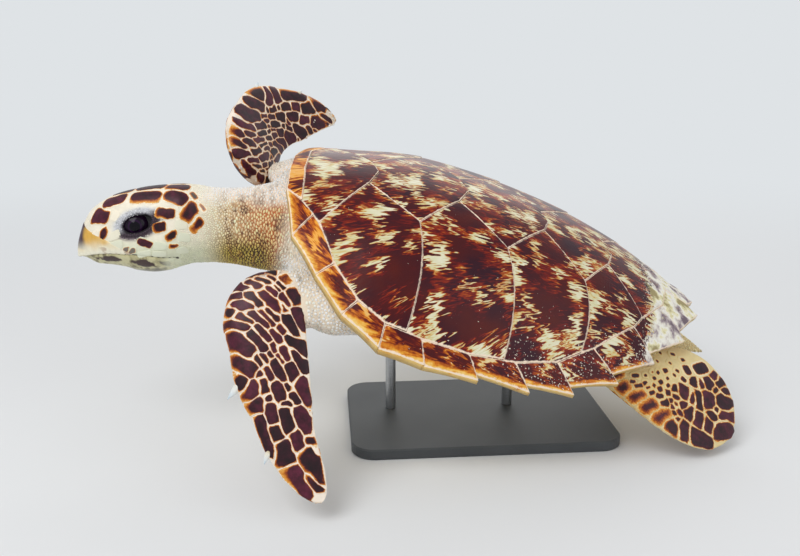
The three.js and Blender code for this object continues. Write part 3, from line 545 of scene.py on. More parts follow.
def closed_net(grid):
    """A grid of sections, (rows, columns, 3), as points with a pole at the middle of each end."""
    rows, columns = grid.shape[:2]
    points = np.concatenate([grid.reshape(-1, 3), grid[:1].mean(1), grid[-1:].mean(1)])
    return points, *net_faces(1, rows, columns)


def evenly(sections, shares):
    """Points at these shares of each section's length, (rows, shares, 3), and the lengths."""
    length = np.linalg.norm(np.diff(sections, axis=1), axis=2).cumsum(1)
    length = np.concatenate([np.zeros((len(sections), 1)), length], 1)
    return np.stack([
        np.stack([np.interp(shares * run[-1], run, line[:, k]) for k in range(3)], 1)
        for run, line in zip(length, sections)
    ]), length[:, -1]


def circle(count):
    """Angles at equal steps once round."""
    return np.linspace(0, 2 * np.pi, count, endpoint=False)


# Head and neck, level: place, half-width, top, bottom, share of the body's bank, roundness
HEAD_ROWS = [
    [-211, 3, -47, -54], [-209, 6.5, -36, -56], [-206, 9.5, -26, -57], [-200, 13, -11, -58.5],
    [-193, 17, 0, -59.5], [-186, 20, 6, -60], [-175, 24.5, 12.5, -61], [-160, 29, 18, -63.5],
    [-145, 32, 21.5, -68], [-130, 34.5, 24, -69.5], [-112, 36.5, 25.5, -67.5], [-97, 36.5, 26, -63],
]
NECK_ROWS = [
    [-84, 35, 25.5, -60.5, 0, 2.2], [-62, 35, 22.5, -61.5, 0.1, 2], [-43, 37, 21.5, -64.5, 0.25, 2],
    [-21, 42, 22.5, -69.5, 0.5, 2], [-3, 49, 26, -72, 0.8, 2], [20, 58, 25, -69, 1, 2],
    [50, 62, 16, -68, 1, 2],
]
head_plan = curves([[*row, 0, 2.35] for row in HEAD_ROWS] + NECK_ROWS)
HEAD_FROM, HEAD_TO = -211.0, 50.0


def head_section(x, angle, grow=0.0):
    """Points of the sections at x: an ellipse whose cosine and sine are taken to a power of two
    over the roundness, rolled by a share of the bank, and closed by a quarter circle at the tip."""
    half, top, bottom, share, power = (v[:, None] for v in np.moveaxis(head_plan(x), -1, 0))
    tip = np.sqrt(1 - np.clip(1 - (x - HEAD_FROM) / 2.2, 0, 0.97) ** 2)[:, None]
    wide = tip * (half + grow) * np.sign(np.cos(angle)) * np.abs(np.cos(angle)) ** (2 / power)
    up = tip * ((top - bottom) / 2 + grow) * np.sign(np.sin(angle)) * np.abs(np.sin(angle)) ** (2 / power)
    roll = BANK * share
    across = wide * np.cos(roll) - up * np.sin(roll)
    height = (top + bottom) / 2 + wide * np.sin(roll) + up * np.cos(roll)
    return np.stack([np.broadcast_to(x[:, None], across.shape), across, height], -1)


head_x = np.concatenate([
    HEAD_FROM + 0.05 + 0.9 * np.linspace(0, 1, 5) ** 1.5, np.arange(-209.4, -84, 0.9),
    np.arange(-84, -40, 1.6), np.arange(-40, HEAD_TO, 2.4)])
HEAD_COLUMNS = 208
# Sections start at the crown and go down the left side
head_sections = head_section(head_x, np.pi / 2 + circle(720), -COAT)
head_sections = np.concatenate([head_sections, head_sections[:, :1]], 1)
head_grid, head_girth = evenly(head_sections, np.arange(HEAD_COLUMNS) / HEAD_COLUMNS)


def grid_normals(grid, closed=True):
    """The outward normal at each point of a grid, from the cross product of its two directions."""
    down = np.gradient(grid, axis=0)
    wrapped = np.concatenate([grid[:, -1:], grid, grid[:, :1]], 1) if closed else grid
    round_it = np.gradient(wrapped, axis=1)[:, 1:-1] if closed else np.gradient(grid, axis=1)
    normal = np.cross(down, round_it)
    normal /= np.linalg.norm(normal, axis=-1, keepdims=True) + 1e-12
    outward = (normal * (grid - grid.mean(1, keepdims=True))).sum(-1)
    return normal * np.sign(np.median(outward) + 1e-12)


MOUTH = curves([
    [-220, -52], [-205, -50.5], [-190, -47.5], [-170, -45.5],
    [-150, -45.5], [-130, -47], [-112, -49], [-98, -49],
])
LID = {"at": (-139.8, -10.6), "size": (16.8, 9.6), "turn": math.radians(20), "rim": 1.9, "socket": 8.0}


def lid_distance(points):
    """How far points of the head lie from the eye's middle: one on the edge of the opening, an
    ellipse in the side view turned down to the front."""
    x, z = points[..., 0] - LID["at"][0], points[..., 2] - LID["at"][1]
    along = x * math.cos(LID["turn"]) + z * math.sin(LID["turn"])
    over = z * math.cos(LID["turn"]) - x * math.sin(LID["turn"])
    return np.hypot(along / LID["size"][0], over / LID["size"][1])


def smooth(value, low, high):
    """Rises from 0 at low to 1 at high by the cubic that is level at both ends."""
    t = np.clip((value - low) / (high - low), 0, 1)
    return t * t * (3 - 2 * t)


def creases(p):
    """How deep a point of the neck lies in a crease: short furrows that run round the neck."""
    furrow = lumps(p * [1, 0.3, 0.3], 3.4, 31) + 0.4 * lumps(p, 3, 32)
    return smooth(furrow, 0.1, 0.6) * smooth(p[..., 0], -70, -34)


def head_relief(p):
    """How far the head's skin stands out: a socket and a raised lid round each eye, a brow, a
    groove for the mouth, nostrils, a hollow before the eye, and folds round the neck."""
    x, y, z = p[..., 0], p[..., 1], p[..., 2]
    side_on = smooth(np.abs(y), 10, 22)
    d = lid_distance(p)
    socket = -LID["socket"] * smooth(1.02 - d, 0, 0.16)
    lid = LID["rim"] * np.exp(-((d - 1.16) / 0.17) ** 2) + 0.9 * np.exp(-((d - 1.5) / 0.22) ** 2)
    crease = -0.5 * np.exp(-((d - 1.36) / 0.05) ** 2)
    brow = 1.3 * np.exp(-((x + 138) / 20) ** 2 - ((z - 7) / 5) ** 2)
    hollow = -1.6 * np.exp(-((x + 170) / 11) ** 2 - ((z + 16) / 10) ** 2)
    cheek = 1.0 * np.exp(-((x + 108) / 16) ** 2 - ((z + 34) / 9) ** 2)
    lips = -1.5 * groove(z - MOUTH(x)[..., 0], 1.1) * smooth(x, -212, -204) * smooth(-x, 97, 101)
    nostril = -2.2 * np.exp(-(np.hypot(x + 195, z + 10.5) / 1.7) ** 2) * smooth(np.abs(y), 3, 8)
    neckward = smooth(x, -84, -58)
    wave = np.sin((x + 5 * lumps(p, 20, 5)) * 2 * np.pi / 7.5 + 0.05 * np.abs(y))
    uneven = 0.5 + 0.5 * smooth(-z, 0, 50) + 0.8 * lumps(p, 16, 6)
    folds = neckward * (0.8 * wave * uneven + 0.7 * lumps(p, 22, 1) + 0.6 * lumps(p, 9, 2)) - 0.5 * creases(p)
    chin = -5.0 * smooth(MOUTH(x)[..., 0] - z, 0, 1.5) * smooth(-x, 186, 205)
    throat = 0.5 * smooth(-z, 52, 60) * np.sin(y * 2 * np.pi / 9) * smooth(x, -150, -120)
    return side_on * (socket + lid + crease + brow + hollow + cheek) + lips + nostril + folds + throat + chin


head_out = grid_normals(head_grid)
head_skin = head_grid + head_out * head_relief(head_grid)[..., None]


def line_of(limb):
    """A limb's centre line: it turns evenly over its bend, in its plane and towards the back, and
    its place is the sum of one-millimetre steps in the direction that it has turned to."""
    along = np.arange(-200.0, 260.0)
    turned = np.clip((along - limb["bend"][0]) / (limb["bend"][1] - limb["bend"][0]), 0, 1)
    fold, lift = (math.radians(limb.get(key, 0)) * turned for key in ("fold", "curl"))
    step = np.stack([np.cos(fold) * np.cos(lift), np.sin(fold) * np.cos(lift), np.sin(lift)], 1)
    place = np.concatenate([[[0, 0, 0]], ((step[1:] + step[:-1]) / 2).cumsum(0)])
    place -= place[200]
    return along, place, fold


def unit(v):
    """A direction as a vector of length one."""
    v = np.asarray(v, float)
    return v / np.linalg.norm(v)


def limb_place(limb, hand, along, wide, out):
    """Level millimetres of a point of a limb, from its place along the centre line, across from
    the leading to the trailing edge, and out to the limb's back."""
    span = unit(limb["span"])
    back = unit(-hand * np.cross(span, limb["chord"]))
    across = unit(hand * np.cross(span, back))
    steps, line, fold = line_of(limb)
    at = np.stack([np.interp(along, steps, line[:, k]) for k in range(3)], -1)
    turned = np.interp(along, steps, fold)
    off = wide - limb["pivot"]
    point = np.array(limb["origin"]) * SHELL + (at[..., 0] - off * np.sin(turned))[..., None] * span
    point = point + (at[..., 1] + off * np.cos(turned))[..., None] * across
    return (point + (at[..., 2] + out)[..., None] * back) @ TILT.T


BLUNT = 0.3


def flipper_section(limb, hand, along, angle, grow=0.0):
    """Sections of a flipper: an ellipse between the leading and the trailing edge, whose height
    is a blunt share more in front and as much less behind."""
    lead, trail, thick = (v[:, None] for v in np.moveaxis(curves(limb["rows"])(along), -1, 0))
    across = (lead + trail) / 2 + ((trail - lead) / 2 + grow) * np.cos(angle)
    out = (thick / 2 + grow) * np.sin(angle) * (1 - BLUNT * np.cos(angle))
    return limb_place(limb, hand, along[:, None] + 0 * across, across, out)


FORE_PLAN = [
    [-31, 22, 34, 8], [-27, 2, 41, 17], [-17, -16, 45, 22], [5, -28, 48, 25], [25, -30, 51, 24],
    [50, -23, 54, 20], [75, -18, 57, 16], [99, -9, 59, 13], [118, 2, 61, 10.5], [144, 14, 67, 8],
    [164, 27, 73, 6], [182, 44, 75, 4.5], [190, 57, 73, 3], [193, 63, 70, 2],
]
SLACK = {"width": 16, "from": -35, "full_from": -15, "full_to": 120, "to": 170}
plan = np.array(FORE_PLAN, float)
opens = np.clip((plan[:, 0] - SLACK["from"]) / (SLACK["full_from"] - SLACK["from"]), 0, 1)
closes = np.clip((SLACK["to"] - plan[:, 0]) / (SLACK["to"] - SLACK["full_to"]), 0, 1)
FOLDED_PLAN = plan + np.outer(SLACK["width"] * opens * closes, [0, 0, 1, 0])
FORE = {
    "left": {"rows": FORE_PLAN, "origin": [0.014, -0.3, -0.042], "span": [0.184, -0.802, -0.569],
             "chord": [0.959, 0.019, 0.284], "pivot": 0, "bend": [20, 120], "curl": -6},
    "right": {"rows": FOLDED_PLAN, "origin": [-0.072, 0.257, -0.041], "span": [-0.2, 0.877, 0.437],
              "chord": [0.705, 0.438, -0.557], "pivot": 20, "bend": [20, 120], "fold": 48, "curl": 17},
}
HIND_PLAN = [
    [-112, -12, 14, 20], [-95, -32, 30, 34], [-48, -49, 42, 34], [-4, -53, 50, 24], [22, -54, 66, 18],
    [45, -52, 71, 14], [68, -46, 67, 10], [91, -32, 52, 7], [103, -13, 32, 4.5], [109, 3, 15, 2.5],
]
HIND = {
    "left": {"rows": HIND_PLAN, "origin": [0.93, -0.2, -0.06], "span": [0.884, -0.422, -0.201],
             "chord": [0.464, 0.844, 0.268], "pivot": 0, "bend": [-20, 60], "curl": -4},
    "right": {"rows": HIND_PLAN, "origin": [0.92, 0.2, -0.075], "span": [0.86, 0.3, -0.42],
              "chord": [0.3, -0.9, 0.2], "pivot": 0, "bend": [-20, 60], "curl": -4},
}


def flipper_net(limb, hand):
    """The flipper's sections, closer together at its two ends, where it closes."""
    first, last = limb["rows"][0][0], limb["rows"][-1][0]
    share = 0.5 - 0.5 * np.cos(np.linspace(0, np.pi, 90))
    along = first + COAT / 2 + (last - first - COAT) * (0.35 * share + 0.65 * np.linspace(0, 1, 90))
    return closed_net(flipper_section(limb, hand, along, circle(56), -COAT))


def muscle_net(start, end, flat, rows, close, count=(36, 40)):
    """Elliptical sections between two places in the body frame, that close like a round end."""
    start, end, flat = np.array(start) * SHELL, np.array(end) * SHELL, np.array(flat, float)
    lengthwise = unit(end - start)
    high = unit(flat - lengthwise * (flat @ lengthwise))
    wide = np.cross(high, lengthwise)
    v = 0.5 - 0.5 * np.cos(np.linspace(0.04, np.pi - 0.04, count[0]))
    rounded = np.sqrt(np.minimum.reduce([np.ones_like(v), v / close, (1 - v) / close]))
    half_wide, half_high = (curves(rows)(v) - COAT).T
    angle = circle(count[1])
    grid = (start + (end - start) * v[:, None])[:, None]
    grid = grid + (rounded * half_wide)[:, None, None] * np.cos(angle)[None, :, None] * wide
    grid = grid + (rounded * half_high)[:, None, None] * np.sin(angle)[None, :, None] * high
    return closed_net(grid @ TILT.T)


def ball_net(at, size, turn=0.0, count=(30, 44)):
    """An ellipsoid in the body frame, turned about the upright axis."""
    across = np.linspace(0.05, np.pi - 0.05, count[0])[:, None]
    angle = circle(count[1])[None]
    size = np.array(size) * SHELL - COAT
    ball = np.stack([
        size[0] * np.sin(across) * np.cos(angle), size[1] * np.sin(across) * np.sin(angle),
        size[2] * np.cos(across) + 0 * angle], -1)
    c, s = math.cos(turn), math.sin(turn)
    return closed_net((ball @ np.array([[c, s, 0], [-s, c, 0], [0, 0, 1]]) + np.array(at) * SHELL) @ TILT.T)


def plate_net(outline, top, bottom, rings, grow=0.0):
    """A slab over an outline in plan, from its top middle round its edge to below, grown outwards."""
    middle = outline.mean(0)
    spoke = outline - middle
    reach = np.concatenate([rings, rings[::-1]])
    plan = middle + reach[:, None, None] * spoke
    x, y = plan[..., 0], plan[..., 1]
    upper = np.arange(len(reach)) < len(rings)
    z = np.where(upper[:, None], top(x, y) + grow, bottom(x, y) - grow)
    plan = plan + grow * reach[:, None, None] * (spoke / np.linalg.norm(spoke, axis=1)[:, None])
    return closed_net(np.concatenate([plan, z[..., None]], -1) @ TILT.T)


GAP = 0.3
BEDDING = 2.2
TRUNK = {"reach": 0.955, "skin": 2, "under": 3.5, "front": 0.035, "rear": 0.99, "points": 110}
ROOM = {"height": 260, "rings": np.array([0.2, 0.35, 0.5, 0.65, 0.78, 0.86, 0.93, 1])}


def under_shell(x, y):
    """The scutes' underside less their bedding, in millimetres."""
    rimward = np.clip(np.abs(y) / (SHELL * half_width(x / SHELL)), 0, 1) ** 4
    thickness = PLATE["thickness"] * (1 - rimward) + margin_thickness(x / SHELL) * rimward
    return SHELL * shell_height(x / SHELL, y / SHELL) - thickness - BEDDING


def belly_bottom(x, y):
    """The underside of the belly plate, in millimetres."""
    return SHELL * belly_height(x / SHELL, y / SHELL)


def belly_top(x, y):
    """The belly plate's upper side."""
    return belly_bottom(x, y) + PLASTRON["thickness"]


def trunk_bottom(x, y):
    """The trunk's underside, a skin's depth above the belly plate's."""
    return belly_bottom(x, y) + TRUNK["skin"]


def trunk_top(x, y):
    """The trunk's back, a little under the bedding, and never below its own underside."""
    return np.maximum(under_shell(x, y) - TRUNK["under"], belly_bottom(x, y) + 2 * TRUNK["skin"])


def room_top(x, y):
    """The level top of the block that cuts the shell's room out of the flesh."""
    return np.full_like(x, ROOM["height"])


turn = np.arange(TRUNK["points"]) * 2 * np.pi / TRUNK["points"]
x = TRUNK["front"] + (TRUNK["rear"] - TRUNK["front"]) * (0.5 - 0.5 * np.cos(turn))
sharpen = np.sign(np.sin(turn)) * np.minimum(1, 1.6 * np.abs(np.sin(turn)))
trunk_outline = SHELL * np.column_stack([x, TRUNK["reach"] * half_width(x) * sharpen])
trunk_rings = np.array([0.2, 0.4, 0.55, 0.67, 0.77, 0.85, 0.91, 0.96, 0.99, 1.0])

SHOULDER = {"at": (0.17, 0.215, -0.045), "size": (0.115, 0.1, 0.066), "turn": math.radians(-38)}
HIP = {"at": (0.80, 0.15, -0.045), "size": (0.14, 0.09, 0.055), "turn": math.radians(28)}
NECK_ROOT = {"at": (0.1, 0, -0.005), "size": (0.13, 0.17, 0.1)}
ARM_ROWS = [[0, 30, 18], [0.3, 36, 24], [0.7, 34, 20], [1, 30, 13]]
# A muscle's start and end, as shares of the shell's length, and the way that its back faces
ARM = {
    "left": ((0.19, -0.2, -0.04), (0.055, -0.3, -0.035), (-0.2, -0.4, 0.9)),
    "right": ((0.17, 0.2, -0.05), (-0.03, 0.258, -0.052), (0.6, -0.2, 0.7)),
}
TAIL_ROWS = [[0, 32, 22], [0.35, 26, 18], [0.7, 16, 11], [1, 5, 4]]
TAIL = ((0.83, 0, -0.045), (1.13, 0, -0.098), (0, 0, 1))

flesh = [
    closed_net(head_skin),
    plate_net(trunk_outline, trunk_top, trunk_bottom, trunk_rings, -COAT),
    ball_net(NECK_ROOT["at"], NECK_ROOT["size"], count=(36, 60)),
    muscle_net(*TAIL, TAIL_ROWS, 0.12, (46, 36)),
]
for hand, side in SIDES:
    flesh += [flipper_net(FORE[side], hand), flipper_net(HIND[side], hand)]
    flesh.append(muscle_net(*ARM[side], ARM_ROWS, 0.2))
    for muscle in (SHOULDER, HIP):
        flesh.append(ball_net(muscle["at"] * np.array([1, hand, 1]), muscle["size"], -hand * muscle["turn"]))

outer = [f"out{i + 1}" for i in range(11)]
room_outline = mirrored_outline(["front", "nuchalOut", *outer, "tip", "notch"], 24)
belly_rings = np.array([0.2, 0.4, 0.6, 0.8, 0.93, 1.0])
rooms = [
    plate_net(room_outline, room_top, under_shell, ROOM["rings"], 2 * GAP),
    plate_net(plastron_outline[::6], belly_top, belly_bottom, belly_rings, GAP),
]


def tinted(tree, pattern, depth):
    """The colour that each point holds, made lighter and darker by a pattern to some depth."""
    tint = node(tree, "Attribute", output="Vector", attribute_name="tint")
    shade = weighted(tree, 1 - depth / 2, (pattern, depth))
    return node(tree, "VectorMath", [tint, shade], operation="SCALE")


# Hide: matt, soft leather in folds, whose own colour changes from part to part, mottled a little
hide, tree, surface = new_material("reptile hide")
place = node(tree, "TexCoord", output="Object")
grain = node(tree, "TexNoise", [place, 1000 / 1.6, 2.0, 0.6])
worn_in = node(tree, "TexNoise", [place, 1000 / 12, 3.0, 0.6])
plug(tree, surface, {
    "Base Color": tinted(tree, worn_in, 0.4), "Roughness": 0.62,
    "Normal": node(tree, "Bump", {"Height": grain, "Distance": 0.0005, "Strength": 0.7})})


def joined(nets, operation):
    """The first net with the others joined to it, or cut from it, as points and triangles."""
    made = [build("flesh", *net, hide) for net in nets]
    for other in made[1:]:
        step = made[0].modifiers.new("join", "BOOLEAN")
        step.operation, step.solver, step.object = operation, "MANIFOLD", other
    shape = made[0].evaluated_get(bpy.context.evaluated_depsgraph_get()).to_mesh()
    points = np.empty(len(shape.vertices) * 3, np.float32)
    shape.vertices.foreach_get("co", points)
    shape.calc_loop_triangles()
    tris = np.empty(len(shape.loop_triangles) * 3, np.int32)
    shape.loop_triangles.foreach_get("vertices", tris)
    for one in made:
        bpy.data.objects.remove(one)
    return points.reshape(-1, 3).astype(float), tris.reshape(-1, 3)


def edges_of(tris):
    """Each edge of closed triangles once, with the two triangles beside it."""
    edge = np.concatenate([tris[:, [0, 1]], tris[:, [1, 2]], tris[:, [2, 0]]])
    owner = np.tile(np.arange(len(tris)), 3)
    order = np.lexsort((edge.max(1), edge.min(1)))
    edge, owner = np.sort(edge, axis=1)[order], owner[order]
    same = (edge[1:] == edge[:-1]).all(1)
    first = np.flatnonzero(same)
    return edge[first], owner[first], owner[first + 1]


def average(values, edge, count):
    """The mean of each point's neighbours' values."""
    total = np.zeros((count, values.shape[1]))
    for a, b in ((0, 1), (1, 0)):
        for k in range(values.shape[1]):
            total[:, k] += np.bincount(edge[:, a], values[edge[:, b], k], count)
    degree = np.bincount(edge.ravel(), minlength=count)[:, None]
    return total / np.maximum(degree, 1)


def beside(points, limb):
    """How far level points lie along a limb's span, and how far from that line."""
    off = points @ TILT - np.array(limb["origin"]) * SHELL
    span = unit(limb["span"])
    along = off @ span
    return along, np.linalg.norm(off - along[..., None] * span, axis=-1)


skin_points, skin_tris = joined(flesh, "UNION")
skin_points, skin_tris = joined([(skin_points, skin_tris, []), *rooms], "DIFFERENCE")

# Where two parts meet in a hollow, the skin is averaged over its neighbours until it flows
edge, one, other = edges_of(skin_tris)
corner = skin_points[skin_tris]
face_normal = np.cross(corner[:, 1] - corner[:, 0], corner[:, 2] - corner[:, 0])
face_normal /= np.linalg.norm(face_normal, axis=1, keepdims=True) + 1e-12
centre = corner.mean(1)
hollow = ((centre[other] - centre[one]) * face_normal[one]).sum(1) > 0
bend = (face_normal[one] * face_normal[other]).sum(1)
joint = np.zeros(len(skin_points))
sharp = edge[hollow & (bend < math.cos(math.radians(14)))]
joint[sharp.ravel()] = 1
joint *= skin_points[:, 0] > -62
for limb, free_from in ((FORE["left"], 0), (FORE["right"], 0), (HIND["left"], -45), (HIND["right"], -45)):
    along, aside = beside(skin_points, limb)
    joint *= (along < free_from) | (aside > 90)
for _ in range(5):
    passed_on = 0.93 * average(joint[:, None], edge, len(joint))[:, 0]
    joint = np.maximum(joint, 1.6 * passed_on).clip(0, 1)
for _ in range(30):
    skin_points += 0.5 * joint[:, None] * (average(skin_points, edge, len(skin_points)) - skin_points)


def mix(share, under, over):
    """Colours over colours by a share of each point. A colour is rows of light or a hex code."""
    under, over = (np.array(srgb(c)[:3]) if isinstance(c, str) else c for c in (under, over))
    return under + (over - under) * np.clip(share, 0, 1)[..., None]


def markings(points):
    """The hide's colours: (on the grains, between them). The neck goes from cream at the head to
    tan at the shell and olive below; flippers and head are cream; the rear is straw yellow. The
    top of the head and neck is painted near white, a painted highlight for light from above."""
    x, z = points[..., 0], points[..., 2]
    rear = smooth(x + 10 * lumps(points, 30, 3), -74, 0)
    low = smooth(-z + 9 * lumps(points, 24, 4), 12, 46) * smooth(x, -84, -44) * smooth(-x, -14, 14)
    # Near white on top of the head and neck: a painted highlight where light falls from above.
    crown = smooth(z + 8 * lumps(points, 20, 9), 2, 20)
    # Between the grains the hide is darker than on them: partly its own tone, partly painted shade in the
    # hollows between the grains.
    grains = mix(rear, "#f6edd4", "#ffdca4")
    hollows = mix(rear, "#cbb688", "#b4622a")
    grains, hollows = mix(low, grains, "#ccb352"), mix(low, hollows, mix(rear, "#77620f", "#3d2310"))
    grains, hollows = mix(crown * (1 - low), grains, "#fffdf8"), mix(crown * (1 - low), hollows, "#f3dfca")
    # Darker in the neck's creases: painted shade in the furrows, weaker under the painted highlight on top.
    crease_shade = creases(points) * (1 - 0.6 * crown)
    grains, hollows = mix(0.5 * crease_shade, grains, "#9a6430"), mix(crease_shade, hollows, "#54301a")
    behind = smooth(x - 0.2 * z, 8, 30)
    pale_side = mix(smooth(lumps(points, 18, 7), -0.2, 0.8), "#fffdf8", "#fbf1df")
    grains, hollows = mix(behind, grains, pale_side), mix(behind, hollows, "#e9d9c2")
    hips = smooth(x, 300, 380)
    grains, hollows = mix(hips, grains, "#efdfae"), mix(hips, hollows, "#d9be86")
    head = smooth(-x, 46, 84)
    cream = mix(smooth(-z, 18, 46), "#f2ead6", "#dde0c4")
    grains, hollows = mix(head, grains, cream), mix(head, hollows, cream)
    for side in ("left", "right"):
        for limb, cut, seam_colour in ((FORE[side], -30, "#f3e6d6"), (HIND[side], -8, "#e3cf98")):
            along, away = beside(points, limb)
            on = smooth(along, cut, cut + 14) * smooth(45 + 80 * smooth(along, 10, 40) - away, 0, 20)
            grains, hollows = mix(on, grains, seam_colour), mix(on, hollows, seam_colour)
    return grains, hollows


def lid_glint(points):
    """One where a pale glint is painted on the upper and front part of the eyelids, and nothing on
    the dark lower part.
    """
    return smooth(points[:, 2] + 10 + 0.62 * (-140 - points[:, 0]), -4, 8)


hollows = markings(skin_points)[1]
near_eye = lid_distance(skin_points) + 9 * ((skin_points[:, 0] > -90) | (np.abs(skin_points[:, 1]) < 12))
# Round the eye, from the outside in: how far out a tone starts and is full, below and above.
# Above, the pale greys are a painted glint on the wet upper lids; below, the lids' purple-grey
# darkens to near black at the opening, partly painted shade under the lids and in the socket.
for start, full, below, above in (
        (1.95, 1.45, "#7f6f78", "#dcdcda"), (1.62, 1.3, "#33232f", "#c3c6cc"),
        (1.16, 1.02, "#160d14", "#85828c"), (1.0, 0.95, "#120b0f", "#120b0f")):
    hollows = mix(smooth(-near_eye, -start, -full), hollows, mix(lid_glint(skin_points), below, above))
# A dark line along the mouth: painted shade in the gap between the jaws.
lips = np.abs(skin_points[:, 2] - MOUTH(skin_points[:, 0])[:, 0]) + 9 * (skin_points[:, 0] > -99)
hollows = mix(smooth(-lips, -1.3, -0.7), hollows, "#2a1c18")
skin = build("skin", from_level(skin_points), skin_tris, [], hide, tint=hollows)
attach(skin, "root")
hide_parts("trunk", "neck", "head", "tail", "arm_left", "arm_right", "flipper_fore_left",
            "flipper_fore_right", "flipper_hind_left", "flipper_hind_right")

# ---- The coat: how scales share a surface ----
# A scale has a core, a short line with a width, and reaches out to where the next one's core is
# as near. All are closed plates of keratin in one mesh for each part of the body.


def core_distance(points, axis, wide):
    """How far flat points lie outside a core: a line as long as twice its axis, widened. Past its
    sides and past its ends add up by their cubes, so that cores have rounded corners."""
    axis = axis + [1e-6, 0]
    half = np.linalg.norm(axis, axis=-1)
    way = axis / half[..., None]
    past_end = np.maximum(np.abs((points * way).sum(-1)) - half, 0)
    aside = np.abs(points[..., 0] * way[..., 1] - points[..., 1] * way[..., 0])
    return (past_end ** 3 + aside ** 3) ** (1 / 3) - wide


def settled(middle, axis, wide, apart, rounds=40):
    """Moves scales whose cores crowd each other apart, a little in each round. A core counts as
    three discs, at its ends and its middle."""
    middle = middle.copy()
    steps = np.array([-1.0, 0.0, 1.0])
    for _ in range(rounds):
        discs = (middle[:, None] + steps[:, None] * axis[:, None]).reshape(-1, 2)
        owner = np.repeat(np.arange(len(middle)), 3)
        off = discs[:, None] - discs[None]
        distance = np.linalg.norm(off, axis=-1) + 1e-6
        lack = np.maximum(wide[owner][:, None] + wide[owner][None] + apart - distance, 0)
        lack[owner[:, None] == owner[None]] = 0
        push = (off / distance[..., None] * lack[..., None]).sum(1)
        middle += 0.12 * push.reshape(len(middle), 3, 2).sum(1)
    return middle


def gap_function(own, others, seam, soft, cap):
    """Gives the function from flat points about each scale's middle to (half of how much nearer
    they are to it than to the rest, how far outside its core they lie). The nearest of the rest
    is a soft minimum, and no scale reaches further than a cap from its core."""
    axis, wide = own
    middle, other_axis, other_wide = others

    def gap(points):
        """Both distances at each of these points."""
        home = core_distance(points, axis[:, None], wide[:, None])
        away = core_distance(points[:, :, None] - middle[:, None], other_axis[:, None], other_wide[:, None])
        away = np.concatenate([away, (2 * np.reshape(cap, (-1, 1)) - home)[..., None]], -1)
        least = away.min(-1)
        away = least - soft * np.log(np.exp((least[..., None] - away) / soft).sum(-1))
        return (away - home - seam) / 2, home

    return gap


def reach_of(gap, longest, columns):
    """How far each scale reaches at each angle, by halving the range where its gap turns negative."""
    angle = np.arange(columns) * 2 * np.pi / columns
    way = np.column_stack([np.cos(angle), np.sin(angle)])
    low = np.zeros((len(longest), columns))
    high = low + longest[:, None]
    for _ in range(11):
        middle = (low + high) / 2
        held = gap(middle[..., None] * way)[0] > 0
        low, high = np.where(held, middle, low), np.where(held, high, middle)
    return np.maximum(low, 0.15)[..., None] * way


def nearest(points, count, window):
    """Each point's nearest others within a window along the first axis, by blocks in its order."""
    order = np.argsort(points[:, 0], kind="stable")
    ranked = points[order]
    found = np.empty((len(points), count), np.int64)
    for block in np.array_split(np.arange(len(points)), len(points) // 300 + 1):
        first = np.searchsorted(ranked[:, 0], ranked[block[0], 0] - window)
        last = max(np.searchsorted(ranked[:, 0], ranked[block[-1], 0] + window), first + count + 1)
        first = max(0, min(first, len(points) - count - 1))
        far = ((ranked[block, None] - ranked[None, first:last]) ** 2).sum(-1)
        far[np.arange(len(block)), block - first] = np.inf
        found[order[block]] = order[first + np.argpartition(far, count, axis=1)[:, :count]]
    return found


def coat(name, place_at, edge, gap, rings, heights, paint, root, material):
    """Scales as closed plates in one mesh. Each has a pole, rings at shares of its reach with a
    height over the skin, a last ring sunk into it, and a pole below. place_at turns flat points
    and heights into level millimetres. Its patch for baking is 0.003 across, at its root."""
    count, columns = edge.shape[:2]
    rings = np.array(rings)
    local = (rings[None, :, None, None] * edge[:, None]).reshape(count, -1, 2)
    lift = np.repeat(heights[1:-1], columns) + np.zeros((count, 1))
    local = np.concatenate([local, np.zeros((count, 2, 2))], 1)
    lift = np.concatenate([lift, np.tile([heights[0], heights[-1]], (count, 1))], 1)
    points = place_at(local, lift)
    tris, quads = net_faces(count, len(rings), columns)
    values = {key: value.reshape(-1, *value.shape[2:]) for key, value in paint(local, *gap(local)).items()}
    made = build(name, from_level(points.reshape(-1, 3)), tris, quads, material, **values)
    widest = np.linalg.norm(edge, axis=-1).max(1)
    patch = root[:, None] + local / widest[:, None, None] * 0.0014
    corners = np.empty(len(made.data.loops), np.int32)
    made.data.loops.foreach_get("vertex_index", corners)
    layer = made.data.uv_layers.new(name="OFBake")
    layer.data.foreach_set("uv", patch.reshape(-1, 2)[corners].astype(np.float32).ravel())
    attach(made, "root")


